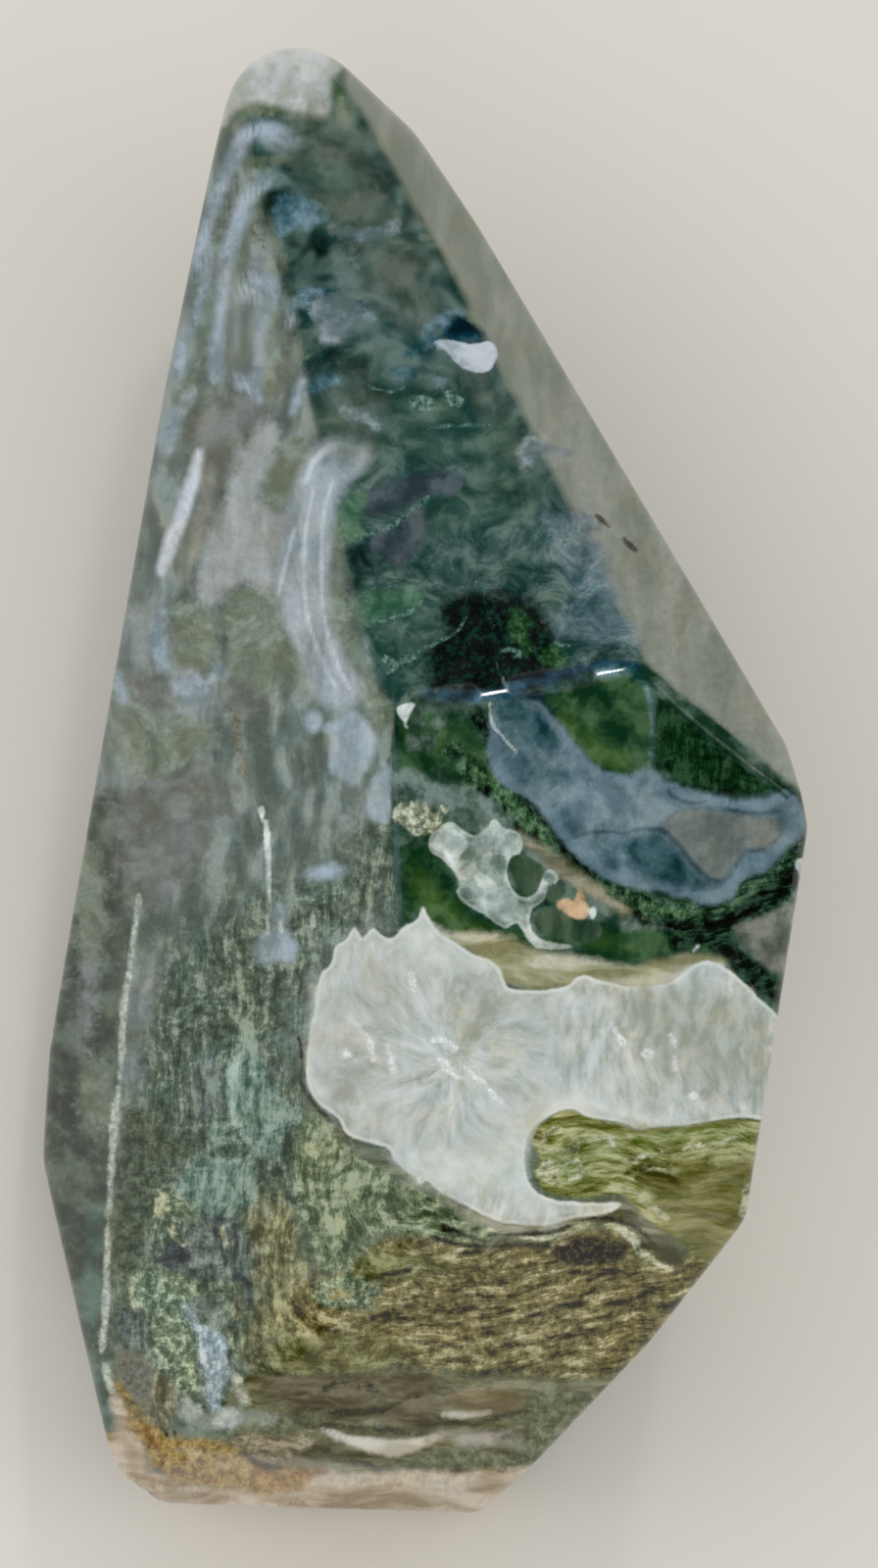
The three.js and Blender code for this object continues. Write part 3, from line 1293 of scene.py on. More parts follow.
minerals["mossShadow"] = {
    "tones": ((0, 6, 0), (4, 20, 6), (42, 66, 50)),
    "texture": "lichen",
    "soft": 0.28,
    "ragged": 0.4,
    "strength": 0.95,
    "marks": {
        "under": band((524, 806, 8), (552, 826, 10), (566, 848, 8), (590, 878, 8), (620, 902, 8)),
        "low": band((640, 938, 8), (680, 944, 12), (720, 948, 14), (760, 930, 20), (800, 900, 24)),
        "cornerCrack": patch((482, 724), (494, 722), (500, 738), (506, 760), (496, 756), (486, 740)),
        "streak": band((690, 962, 12), (730, 962, 16), (760, 986, 20), (784, 1006, 20), (806, 1018, 16)),
    },
}

minerals["triangle"] = {
    "tones": ((8, 28, 12), (20, 46, 26), (44, 70, 48)),
    "texture": "lichen",
    "soft": 0.25,
    "ragged": 0.2,
    "marks": {
        "face": patch(
            (668, 706), (690, 722), (760, 774), (806, 804), (790, 812), (740, 814), (716, 808), (688, 794),
            (674, 780), (666, 760), (668, 730)),
    },
}

minerals["pool"] = {
    "tones": ((52, 78, 86), (78, 102, 110), (102, 122, 130)),
    "texture": "cloud",
    "soft": 0.22,
    "ragged": 0.16,
    "rim": {"at": 0.35, "width": 0.6, "tone": (116, 135, 146), "strength": 0.36},
    "marks": {
        "pool": patch(
            (500, 724), (514, 716), (540, 714), (558, 722), (588, 760), (604, 778), (624, 788), (642, 791),
            (656, 784), (668, 786), (684, 798), (730, 813), (760, 816), (786, 813), (804, 806), (816, 818),
            (822, 840), (814, 856), (802, 864), (795, 878), (782, 888), (766, 894), (754, 902), (748, 916),
            (732, 922), (712, 922), (690, 914), (640, 904), (616, 896), (576, 862), (546, 820), (524, 808),
            (508, 796), (500, 776), (498, 748)),
    },
}

minerals["poolCloud"] = {
    "tones": ((20, 50, 54), (42, 72, 76), (62, 90, 96)),
    "texture": "cloud",
    "soft": 0.5,
    "ragged": 0.35,
    "strength": 0.95,
    "marks": {
        "top": patch((504, 716), (534, 716), (560, 738), (570, 758), (552, 764), (514, 738)),
        "lens": patch(
            (642, 862), (656, 851), (674, 852), (690, 864), (704, 882), (720, 896), (738, 899), (716, 907),
            (684, 902), (658, 896), (646, 880)),
    },
}

minerals["poolLight"] = {
    "tones": ((98, 116, 124), (112, 130, 137), (126, 143, 148)),
    "texture": "cloud",
    "soft": 0.7,
    "ragged": 0.3,
    "strength": 0.7,
    "marks": {
        "middle": patch(
            (572, 806), (610, 802), (640, 798), (690, 818), (700, 836), (680, 846), (610, 846), (586, 836)),
        "right": patch((796, 818), (812, 820), (820, 838), (812, 854), (800, 862), (792, 850), (800, 838)),
        "edge": band((700, 812, 6), (730, 820, 8), (764, 822, 8), (794, 818, 8)),
    },
}

minerals["poolWarm"] = {
    "tones": ((88, 98, 95), (100, 108, 104), (112, 118, 113)),
    "texture": "cloud",
    "soft": 0.45,
    "ragged": 0.12,
    "rim": {"at": 0, "width": 0.3, "tone": (54, 72, 82), "strength": 0.4},
    "marks": {
        "zone": patch(
            (676, 842), (690, 828), (716, 824), (776, 832), (796, 836), (798, 850), (788, 862), (776, 868),
            (760, 869), (741, 895), (728, 898), (712, 890), (684, 856)),
    },
}

minerals["poolLine"] = {
    "tones": ((22, 42, 50), (44, 64, 72), (66, 86, 92)),
    "texture": "cloud",
    "soft": 0.14,
    "ragged": 0.1,
    "strength": 0.75,
    "marks": {
        "hook": band((682, 806, 2), (686, 812, 3), (698, 818, 4), (712, 819, 3), (722, 817, 1)),
        "lensEdge": band(
            (578, 858, 1), (604, 849, 3), (634, 850, 3), (656, 846, 4), (676, 848, 5), (692, 862, 5),
            (706, 880, 6), (722, 896, 6)),
        "lensTail": band(
            (722, 897, 5), (736, 900, 5), (746, 892, 3), (752, 882, 2), (762, 870, 3), (778, 867, 3),
            (792, 857, 2)),
        "warmLine": band((734, 824, 1), (750, 827, 3), (776, 830, 3), (796, 828, 1)),
    },
}

minerals["edgeLine"] = {  # where two polished faces meet: painted shade along the ridges
    "tones": ((14, 38, 32), (32, 60, 54), (58, 84, 78)),
    "texture": "cloud",
    "soft": 0.16,
    "ragged": 0.06,
    "strength": 0.85,
    "marks": {
        "seam": band((405, 724, 4), (403, 800, 7), (404, 850, 9), (407, 900, 9), (410, 944, 5)),
        "ridge": band((664, 698, 3), (700, 733, 3), (750, 774, 3), (804, 814, 3)),
        "bend": band((664, 700, 3), (668, 740, 4), (666, 780, 2)),
    },
}

# a painted highlight: a thin light line along the ridge between the front faces
minerals["edgeGlow"] = {
    "tones": ((84, 104, 84), (112, 128, 108), (138, 150, 134)),
    "texture": "cloud",
    "soft": 0.12,
    "ragged": 0.05,
    "strength": 0.6,
    "marks": {
        "ridge": band((668, 697, 1), (704, 731, 2), (754, 772, 2), (804, 810, 1)),
    },
}

minerals["greyBand"] = {
    "tones": ((34, 58, 48), (76, 92, 84), (110, 126, 118)),
    "texture": "cloud",
    "soft": 0.3,
    "ragged": 0.3,
    "marks": {
        "band": patch(
            (403, 792), (414, 785), (434, 790), (452, 799), (478, 806), (506, 820), (522, 838), (508, 846),
            (500, 836), (484, 850), (462, 836), (448, 826), (424, 818), (404, 822)),
        "cream": patch((414, 752), (430, 748), (446, 750), (444, 760), (430, 768), (416, 764)),
        "under": band((536, 866, 10), (588, 904, 14), (622, 932, 12)),
        "stub": patch((626, 924), (640, 930), (652, 946), (636, 950), (626, 940)),
        "ring": spot(426, 738, 7, 6),
        "ringB": spot(446, 738, 6, 5),
    },
}

minerals["greyWedge"] = {
    "tones": ((70, 78, 66), (94, 100, 90), (118, 122, 114)),
    "texture": "cloud",
    "soft": 0.3,
    "ragged": 0.2,
    "marks": {
        "wedge": patch((752, 944), (776, 936), (800, 926), (822, 918), (814, 1004), (796, 996), (758, 964)),
    },
}

minerals["taupe"] = {
    "tones": ((98, 98, 76), (126, 122, 100), (148, 144, 124)),
    "texture": "softBed",
    "soft": 0.35,
    "ragged": 0.25,
    "strength": 0.9,
    "marks": {
        "taupe": band((530, 852, 9), (590, 898, 16), (640, 930, 7)),
    },
}

minerals["greenFringe"] = {
    "tones": ((34, 62, 34), (62, 94, 62), (96, 126, 92)),
    "texture": "granules",
    "soft": 0.25,
    "ragged": 0.3,
    "strength": 0.8,
    "marks": {
        "rim": band((474, 776, 7), (496, 796, 9), (520, 816, 11), (562, 858, 6)),
        "far": band((620, 912, 5), (660, 926, 7), (700, 932, 6)),
    },
}

minerals["lace"] = {
    "tones": ((92, 106, 94), (142, 155, 147), (184, 193, 186)),
    "texture": "cloud",
    "soft": 0.1,
    "ragged": 0.09,
    "rim": {"at": 0.1, "width": 0.18, "tone": (202, 208, 200), "strength": 0.22},
    "marks": {
        "body": patch(
            (437, 862), (440, 850), (452, 842), (462, 838), (472, 847), (486, 853), (496, 846), (504, 836),
            (514, 845), (527, 848), (534, 858), (531, 870), (522, 875), (518, 886), (520, 900), (526, 911),
            (537, 916), (549, 909), (554, 893), (562, 887), (570, 897), (560, 910), (553, 921), (543, 929),
            (541, 941), (546, 953), (556, 960), (584, 965), (572, 969), (552, 968), (540, 961), (533, 949),
            (526, 942), (516, 947), (506, 942), (496, 935), (474, 922), (465, 910), (470, 902), (462, 887),
            (452, 877), (440, 869)),
    },
}

minerals["laceLobe"] = {
    "tones": ((84, 92, 76), (128, 136, 116), (182, 188, 168)),
    "texture": "granules",
    "spread": (0.36, 0.64),
    "soft": 0.14,
    "ragged": 0.25,
    "marks": {
        "lobe": patch(
            (401, 836), (402, 826), (410, 819), (422, 817), (434, 821), (443, 828), (452, 822), (459, 824),
            (452, 834), (448, 844), (440, 852), (430, 853), (418, 849)),
    },
}

minerals["laceGrey"] = {
    "tones": ((74, 92, 84), (100, 118, 110), (140, 154, 146)),
    "texture": "cloud",
    "soft": 0.15,
    "ragged": 0.3,
    "strength": 0.9,
    "marks": {
        "hollow": patch(
            (488, 874), (506, 872), (516, 878), (516, 896), (522, 908), (508, 904), (496, 894), (486, 884)),
        "left": patch((468, 900), (482, 896), (492, 906), (486, 918), (474, 914)),
        "tail": band((556, 894, 6), (562, 904, 6), (548, 920, 6)),
        "eyelet": band((442, 860, 3), (450, 858, 4), (456, 864, 3)),
    },
}

minerals["laceLilac"] = {
    "tones": ((126, 138, 132), (144, 156, 154), (168, 178, 176)),
    "texture": "cloud",
    "soft": 0.25,
    "ragged": 0.2,
    "strength": 0.8,
    "marks": {
        "panel": patch((482, 858), (500, 842), (520, 850), (528, 860), (520, 870), (500, 868), (484, 868)),
        "low": patch((496, 914), (512, 914), (526, 922), (530, 934), (514, 938), (500, 928)),
    },
}

minerals["holes"] = {
    "tones": ((36, 58, 42), (54, 74, 56), (76, 92, 74)),
    "texture": "brush",
    "soft": 0.12,
    "ragged": 0.1,
    "marks": {
        "upper": patch(
            (520, 878), (530, 873), (544, 877), (555, 886), (550, 902), (540, 912), (530, 910), (523, 898)),
        "lower": patch(
            (545, 936), (553, 927), (566, 926), (584, 934), (606, 940), (614, 952), (600, 962), (578, 960),
            (558, 956), (547, 948)),
        "grey": patch((558, 908), (568, 902), (578, 908), (572, 918), (560, 920)),
    },
}

minerals["coral"] = {
    "tones": ((140, 120, 88), (168, 146, 112), (196, 166, 134)),
    "texture": "cloud",
    "soft": 0.14,
    "ragged": 0.12,
    "marks": {
        "fan": patch(
            (568, 922), (578, 916), (586, 920), (590, 906), (602, 928), (598, 936), (586, 936), (574, 930)),
    },
}

minerals["crumb"] = {
    "tones": ((140, 154, 148), (180, 190, 188), (212, 220, 218)),
    "texture": "cloud",
    "soft": 0.1,
    "ragged": 0.1,
    "marks": {
        "knot": patch(
            (439, 862), (447, 848), (458, 841), (467, 848), (477, 860), (470, 874), (462, 884), (456, 874),
            (446, 868)),
        # a painted highlight on the ridge below the crown
        "glint": patch((405, 722), (423, 718), (418, 728), (413, 737)),
        "glintTail": band((413, 734, 2), (415, 742, 2)),
        "crack": band((500, 718, 3), (501, 732, 4), (505, 744, 3), (511, 749, 2)),
        "crackTail": band((511, 749, 1.5), (520, 760, 2), (527, 767, 1.5)),
        "nub": patch((600, 930), (606, 925), (610, 932), (604, 938)),
        "rightChip": patch((812, 880), (820, 876), (824, 888), (816, 894)),
        "low": band((708, 970, 3), (712, 966, 5)),
        "first": band((319, 936, 4), (320, 944, 5)),
        "second": band((286, 942, 4), (286, 950, 5)),
        "dashes": band((271, 838, 5), (273, 862, 6), (275, 920, 3)),
        "dashesLow": band((273, 934, 3), (274, 956, 2)),
        "specks": band((267, 826, 6), (268, 838, 3)),
    },
}

minerals["seamLight"] = {  # a painted highlight along the ridge down the left
    "tones": ((130, 142, 128), (168, 178, 166), (200, 208, 198)),
    "texture": "fine",
    "soft": 0.14,
    "ragged": 0.14,
    "strength": 0.85,
    "marks": {
        "upper": band((142, 914, 3), (131, 1000, 6), (126, 1030, 7), (125, 1060, 6), (122, 1100, 5)),
        "middle": band((121, 1110, 4), (117, 1140, 9), (115, 1170, 9), (113, 1200, 5), (111, 1240, 6)),
        "lower": band((110, 1250, 4), (108, 1330, 8), (105, 1365, 7), (104, 1380, 3)),
        "foot": band((108, 1392, 8), (110, 1406, 9), (114, 1420, 5)),
    },
}

minerals["edgeTeal"] = {
    "tones": ((34, 60, 54), (58, 86, 80), (84, 110, 102)),
    "texture": "cloud",
    "soft": 0.35,
    "ragged": 0.2,
    "strength": 0.9,
    "marks": {
        "corner": patch(
            (80, 1370), (100, 1396), (104, 1420), (114, 1438), (122, 1456), (100, 1456), (84, 1420)),
        "side": band((96, 1240, 16), (92, 1350, 16)),
    },
}

# the quartz and what lies round it
minerals["sediment"] = {
    "tones": ((120, 120, 88), (148, 148, 120), (176, 175, 156)),
    "texture": "softBed",
    "soft": 0.35,
    "ragged": 0.2,
    "marks": {
        "cream": patch(
            (440, 946), (460, 952), (490, 950), (520, 956), (548, 970), (580, 974), (620, 982), (650, 986),
            (690, 976), (720, 974), (740, 984), (700, 1006), (640, 1012), (560, 1014), (510, 1000),
            (470, 980)),
    },
}

minerals["quartzShade"] = {
    "tones": ((58, 60, 40), (92, 92, 72), (134, 134, 114)),
    "texture": "bed",
    "soft": 0.45,
    "ragged": 0.1,
    "marks": {
        "tail": patch(
            (480, 1228), (520, 1244), (560, 1240), (600, 1226), (636, 1226), (684, 1264), (700, 1290),
            (680, 1296), (664, 1272), (640, 1254), (610, 1252), (570, 1258), (530, 1258), (494, 1248)),
        "side": patch(
            (316, 1130), (344, 1152), (358, 1168), (384, 1180), (404, 1190), (396, 1196), (372, 1182),
            (346, 1164), (322, 1142)),
    },
}

minerals["quartz"] = {
    "tones": ((146, 153, 144), (176, 182, 177), (196, 202, 199)),
    "texture": "feather",
    "spread": (0.25, 0.75),
    "soft": 0.1,
    "ragged": 0.08,
    "rim": {"at": 0.12, "width": 0.2, "tone": (212, 216, 212), "strength": 0.5},
    "marks": {
        "body": patch(
            (312, 1100), (313, 1078), (316, 1054), (321, 1030), (323, 1008), (328, 993), (338, 983),
            (342, 966), (352, 959), (362, 946), (370, 957), (380, 946), (390, 955), (400, 957), (412, 946),
            (425, 939), (431, 926), (438, 937), (446, 949), (482, 973), (500, 980), (510, 988), (515, 1001),
            (522, 1008), (545, 1010), (575, 1007), (590, 996), (602, 996), (624, 1003), (652, 1007),
            (680, 1003), (700, 990), (718, 981), (736, 985), (756, 999), (768, 1012), (786, 1028),
            (800, 1044), (830, 1080), (820, 1150), (782, 1144), (762, 1141), (742, 1142), (702, 1148),
            (672, 1150), (650, 1152), (636, 1146), (600, 1140), (588, 1133), (574, 1133), (546, 1148),
            (538, 1162), (535, 1182), (538, 1202), (548, 1216), (566, 1224), (600, 1227), (634, 1228),
            (620, 1238), (590, 1243), (560, 1250), (530, 1250), (502, 1244), (452, 1218), (436, 1206),
            (418, 1198), (404, 1186), (396, 1172), (384, 1168), (366, 1163), (352, 1155), (344, 1141),
            (330, 1131), (319, 1118)),
    },
}

minerals["quartzCore"] = {
    "tones": ((134, 138, 122), (152, 157, 145), (174, 179, 170)),
    "texture": "cloud",
    "soft": 0.9,
    "ragged": 1.2,
    "strength": 0.65,
    "marks": {
        "shadow": patch(
            (466, 996), (500, 1000), (510, 1030), (500, 1060), (478, 1080), (462, 1060), (460, 1020)),
        "left": spot(352, 1100, 20, 34, 10),
    },
}

minerals["quartzGrey"] = {
    "tones": ((140, 146, 132), (150, 156, 144), (162, 167, 156)),
    "texture": "feather",
    "soft": 1.1,
    "ragged": 0.8,
    "strength": 0.8,
    "marks": {
        "right": patch(
            (620, 1012), (700, 1004), (760, 1020), (800, 1060), (790, 1110), (740, 1120), (690, 1100),
            (640, 1060)),
    },
}

minerals["quartzMilk"] = {
    "tones": ((176, 181, 172), (189, 195, 189), (202, 206, 201)),
    "texture": "cloud",
    "soft": 0.5,
    "ragged": 0.2,
    "strength": 0.85,
    "marks": {
        "halo": band(
            (700, 1146, 8), (650, 1143, 14), (610, 1130, 18), (576, 1122, 18), (546, 1136, 22),
            (526, 1166, 26), (524, 1204, 26), (548, 1232, 14)),
        "crown": patch(
            (404, 962), (424, 944), (434, 940), (450, 958), (476, 976), (500, 988), (470, 990), (430, 980)),
        "left": band((326, 1010, 8), (320, 1050, 8), (318, 1090, 8), (330, 1120, 8)),
        "low": patch((400, 1180), (440, 1170), (500, 1180), (520, 1210), (480, 1220), (440, 1206)),
    },
}

minerals["quartzSpark"] = {
    "tones": ((180, 186, 182), (206, 211, 210), (232, 236, 236)),
    "texture": "fine",
    "soft": 0.16,
    "ragged": 0.22,
    "strength": 0.85,
    "marks": {
        "first": band((442, 1062, 5), (456, 1062, 8), (464, 1070, 5)),
        "second": band((448, 1078, 5), (458, 1090, 6), (470, 1100, 4)),
        "third": band((474, 1088, 4), (494, 1106, 5), (512, 1126, 3)),
        "fourth": band((366, 1046, 3), (376, 1062, 6), (382, 1080, 4)),
        "fifth": band((396, 1066, 4), (400, 1086, 5), (402, 1094, 3)),
        "sixth": spot(353, 1076, 5, 4),
        "seventh": band((420, 994, 4), (422, 1010, 5)),
        "eighth": spot(431, 1204, 6, 4, -20),
        "ninth": band((684, 1056, 4), (690, 1068, 5)),
        "tenth": band((688, 1080, 5), (690, 1090, 4)),
        "eleventh": band((628, 1050, 5), (636, 1064, 5)),
        "twelfth": spot(663, 1076, 6, 4),
        "thirteenth": spot(707, 1118, 4, 4),
        "fourteenth": spot(786, 1071, 4, 3),
    },
}

minerals["quartzFade"] = {
    "tones": ((104, 100, 78), (148, 146, 126), (180, 180, 166)),
    "texture": "cloud",
    "soft": 0.7,
    "ragged": 0.3,
    "strength": 0.8,
    "marks": {
        "foot": band(
            (404, 1192, 3), (432, 1208, 8), (468, 1232, 9), (500, 1248, 9), (540, 1254, 8), (612, 1236, 3)),
    },
}

minerals["inlet"] = {
    "tones": ((70, 74, 22), (118, 122, 72), (170, 172, 132)),
    "texture": "inletFlow",
    "soft": 0.12,
    "ragged": 0.16,
    "marks": {
        "moss": patch(
            (800, 1146), (781, 1145), (760, 1142), (740, 1143), (700, 1149), (670, 1151), (650, 1154),
            (634, 1147), (600, 1141), (586, 1134), (574, 1134), (560, 1141), (549, 1152), (545, 1166),
            (549, 1180), (546, 1196), (551, 1209), (565, 1219), (592, 1222), (630, 1219), (642, 1226),
            (657, 1241), (674, 1254), (694, 1266), (724, 1290), (800, 1280), (810, 1200)),
    },
}

minerals["inletBrown"] = {
    "tones": ((72, 72, 26), (102, 100, 56), (134, 130, 90)),
    "texture": "bed",
    "soft": 0.6,
    "ragged": 0.4,
    "strength": 0.8,
    "marks": {
        "right": patch(
            (680, 1196), (740, 1184), (800, 1190), (790, 1260), (740, 1300), (690, 1262), (664, 1226)),
        "lip": band((636, 1148, 5), (670, 1153, 6), (760, 1146, 6)),
    },
}

minerals["inletGreen"] = {
    "tones": ((58, 76, 18), (94, 112, 50), (150, 156, 112)),
    "texture": "inletFlow",
    "soft": 0.3,
    "ragged": 0.3,
    "strength": 0.7,
    "marks": {
        "top": band((650, 1164, 8), (700, 1158, 12), (750, 1156, 14), (790, 1156, 12)),
        "tip": patch((566, 1180), (590, 1176), (602, 1188), (598, 1206), (580, 1210), (566, 1200)),
    },
}

minerals["nodules"] = {
    "tones": ((78, 86, 58), (150, 154, 122), (200, 200, 176)),
    "texture": "lichen",
    "soft": 0.14,
    "ragged": 0.3,
    "strength": 0.9,
    "marks": {
        "rimTop": band(
            (552, 1172, 5), (556, 1160, 5), (568, 1154, 5), (586, 1160, 4), (590, 1170, 5), (576, 1174, 4),
            (560, 1174, 4)),
        "cream": patch(
            (550, 1190), (556, 1182), (566, 1184), (570, 1196), (566, 1206), (556, 1208), (550, 1200)),
        "beads": band((596, 1164, 5), (612, 1162, 6), (626, 1164, 6), (622, 1172, 4)),
        "tipBeads": band((574, 1188, 4), (588, 1186, 4), (594, 1198, 4), (582, 1202, 4)),
        "chain": band((636, 1214, 6), (650, 1216, 8), (660, 1226, 5), (668, 1234, 7), (680, 1244, 4)),
        "flow": band((640, 1184, 3), (670, 1178, 3), (700, 1170, 4), (730, 1168, 3)),
        "flowGreen": band((734, 1166, 5), (750, 1162, 6), (762, 1160, 4)),
        "edge": band((345, 1166, 5), (362, 1182, 7), (392, 1204, 4)),
        "edgeLow": band((416, 1212, 4), (436, 1222, 6), (474, 1250, 4)),
        "collar": band(
            (500, 1254, 4), (530, 1262, 5), (560, 1262, 5), (584, 1254, 6), (604, 1248, 7), (628, 1252, 6),
            (646, 1264, 6), (656, 1280, 6), (684, 1296, 5)),
        "collarIn": band((452, 1284, 5), (466, 1278, 6), (474, 1276, 3)),
        "rightSlip": band((764, 1212, 6), (762, 1226, 7), (758, 1238, 4)),
        "edgeA": band((168, 1224, 8), (160, 1232, 9), (166, 1242, 6)),
        "edgeB": band((176, 1252, 7), (178, 1264, 7), (186, 1270, 6)),
        "edgeC": band((226, 1254, 4), (230, 1264, 5), (228, 1272, 4)),
        "edgeD": band((136, 1308, 6), (134, 1324, 6), (140, 1336, 4)),
        "edgeE": band((170, 1300, 7), (178, 1306, 5)),
        "hook": band((229, 1346, 4), (234, 1336, 6), (240, 1350, 3)),
        "strand": band((288, 1250, 3), (292, 1270, 5), (298, 1284, 3)),
        "strandB": band((298, 1292, 3), (296, 1308, 4), (286, 1322, 4)),
        "strandC": band((240, 1310, 2), (246, 1340, 3), (250, 1366, 2)),
        "strandD": band((232, 1352, 2), (238, 1380, 2), (244, 1410, 3), (256, 1434, 2)),
        "bright": band((294, 1362, 5), (306, 1361, 7), (316, 1362, 5)),
    },
}

minerals["lens"] = {
    "tones": ((52, 52, 18), (90, 88, 46), (126, 126, 76)),
    "texture": "bed",
    "soft": 0.16,
    "ragged": 0.2,
    "marks": {
        "inlet": patch(
            (648, 1204), (654, 1196), (668, 1194), (684, 1198), (694, 1206), (690, 1212), (672, 1212),
            (656, 1210)),
        "tail": band((640, 1196, 5), (656, 1190, 6), (690, 1186, 4), (720, 1186, 3)),
    },
}

minerals["darkLens"] = {
    "tones": ((0, 0, 0), (24, 22, 10), (80, 74, 46)),
    "texture": "fine",
    "soft": 0.2,
    "ragged": 0.25,
    "marks": {
        "eye": patch(
            (562, 1274), (576, 1270), (590, 1264), (606, 1262), (622, 1268), (640, 1270), (636, 1284),
            (620, 1290), (580, 1290), (570, 1284)),
    },
}

# below: moss fringe, layered bed and its lenses
minerals["fringe"] = {
    "tones": ((44, 60, 34), (96, 112, 82), (160, 170, 140)),
    "texture": "lichen",
    "soft": 0.35,
    "ragged": 0.6,
    "strength": 0.9,
    "marks": {
        "slope": patch(
            (318, 1132), (342, 1158), (372, 1186), (440, 1222), (478, 1248), (506, 1266), (470, 1266),
            (430, 1262), (392, 1258), (360, 1290), (334, 1300), (320, 1270), (310, 1230), (300, 1180)),
    },
}

minerals["teal"] = {
    "tones": ((44, 74, 64), (96, 120, 108), (140, 158, 146)),
    "texture": "lichen",
    "soft": 0.3,
    "ragged": 0.5,
    "marks": {
        "leaf": patch(
            (240, 1078), (250, 1060), (262, 1064), (272, 1100), (290, 1120), (298, 1140), (290, 1164),
            (276, 1180), (262, 1176), (238, 1136), (234, 1106)),
        "upper": spot(250, 1056, 12, 10),
        "small": patch((210, 1150), (222, 1136), (230, 1150), (228, 1172), (214, 1168)),
        "fan": patch(
            (200, 1186), (240, 1180), (262, 1196), (256, 1230), (220, 1240), (186, 1222), (180, 1204)),
    },
}

minerals["leafEdge"] = {
    "tones": ((96, 118, 102), (130, 150, 136), (168, 186, 174)),
    "texture": "lichen",
    "soft": 0.16,
    "ragged": 0.3,
    "strength": 0.85,
    "marks": {
        "outline": band((250, 1070, 4), (240, 1086, 7), (236, 1110, 6), (238, 1136, 5), (258, 1172, 4)),
        "inner": band((258, 1084, 4), (260, 1104, 4), (256, 1120, 3)),
    },
}

minerals["greenBed"] = {
    "tones": ((62, 62, 22), (98, 98, 56), (134, 138, 100)),
    "texture": "lichen",
    "soft": 0.5,
    "ragged": 0.4,
    "strength": 0.8,
    "marks": {
        "left": patch(
            (288, 1368), (330, 1362), (400, 1364), (420, 1380), (390, 1398), (330, 1400), (290, 1400)),
        "top": patch(
            (360, 1284), (400, 1276), (440, 1280), (470, 1292), (440, 1300), (400, 1304), (366, 1304)),
    },
}

minerals["cracks"] = {
    "tones": ((0, 2, 0), (26, 26, 8), (60, 60, 32)),
    "texture": "fine",
    "soft": 0.15,
    "ragged": 0.2,
    "strength": 1,
    "marks": {
        "main": band((440, 1262, 4), (470, 1270, 4), (500, 1272, 4), (530, 1270, 4), (560, 1272, 3)),
        "mainGreen": band((452, 1252, 5), (480, 1262, 5), (500, 1268, 3)),
        "second": band((508, 1350, 3), (530, 1348, 5), (556, 1338, 4), (580, 1332, 6), (596, 1330, 3)),
        "third": band((430, 1296, 3), (450, 1300, 4), (480, 1298, 2)),
        "fourth": band((432, 1370, 4), (452, 1372, 5), (466, 1376, 3)),
        "fifth": band((560, 1364, 4), (580, 1364, 6), (592, 1362, 3)),
        "sixth": band((330, 1414, 3), (356, 1410, 4), (380, 1414, 2)),
        "seventh": band((340, 1442, 3), (370, 1440, 5), (392, 1438, 4), (410, 1430, 2)),
        "eighth": band((412, 1428, 3), (430, 1424, 5), (438, 1428, 3)),
        "ninth": band((460, 1326, 2), (474, 1332, 4), (490, 1334, 2)),
        "collar": band(
            (500, 1260, 3), (560, 1258, 4), (600, 1244, 4), (640, 1248, 4), (660, 1262, 3), (672, 1280, 3)),
        "left": band((238, 1320, 3), (246, 1344, 2)),
        "under": band((248, 1482, 5), (264, 1494, 7), (284, 1498, 6)),
        "corner": band((164, 1460, 5), (172, 1464, 8), (180, 1462, 3)),
        "dot": spot(511, 1502, 3, 2),
        "tenth": band((594, 1300, 2), (616, 1296, 3), (645, 1300, 2)),
        "eleventh": band((385, 1303, 3), (400, 1300, 6), (418, 1296, 3)),
        "twelfth": band((507, 1310, 2), (518, 1314, 4), (528, 1318, 2)),
        "thirteenth": band((415, 1334, 3), (437, 1331, 3)),
        "fourteenth": band((458, 1338, 3), (478, 1336, 3)),
        "quartzSide": band((306, 1060, 4), (308, 1086, 3), (308, 1104, 4), (318, 1124, 4), (336, 1142, 3)),
    },
}

minerals["paleStrata"] = {
    "tones": ((104, 98, 62), (146, 140, 102), (186, 182, 148)),
    "texture": "lichen",
    "soft": 0.16,
    "ragged": 0.4,
    "strength": 0.8,
    "marks": {
        "first": band((440, 1388, 6), (456, 1380, 7), (468, 1384, 5)),
        "second": band((484, 1386, 4), (492, 1390, 4)),
        "third": band((330, 1316, 6), (352, 1322, 8), (372, 1318, 6)),
        "fourth": band((500, 1362, 3), (530, 1356, 4), (556, 1346, 3)),
        "fifth": band((300, 1360, 3), (340, 1356, 4), (370, 1360, 3)),
        "sixth": band((470, 1350, 4), (490, 1344, 4)),
        "seventh": band((560, 1350, 3), (600, 1342, 4)),
        "eighth": band((540, 1376, 4), (556, 1380, 4)),
        "ninth": band((500, 1318, 3), (512, 1322, 4)),
        "tenth": band((600, 1324, 3), (650, 1318, 4)),
        "eleventh": band((430, 1300, 2), (450, 1304, 3)),
        "twelfth": band((437, 1287, 3), (456, 1281, 5), (474, 1277, 3)),
        "thirteenth": band((476, 1373, 3), (530, 1366, 3), (583, 1350, 4), (611, 1334, 3)),
    },
}

minerals["whiteLens"] = {
    "tones": ((166, 160, 144), (184, 180, 166), (198, 194, 184)),
    "texture": "softBed",
    "soft": 0.2,
    "ragged": 0.12,
    "marks": {
        "lens": patch(
            (326, 1458), (340, 1459), (360, 1465), (410, 1469), (432, 1467), (452, 1462), (440, 1472),
            (404, 1487), (386, 1484), (350, 1472)),
        "shelf": band((453, 1443, 5), (470, 1444, 7), (486, 1443, 4), (500, 1440, 2)),
    },
}

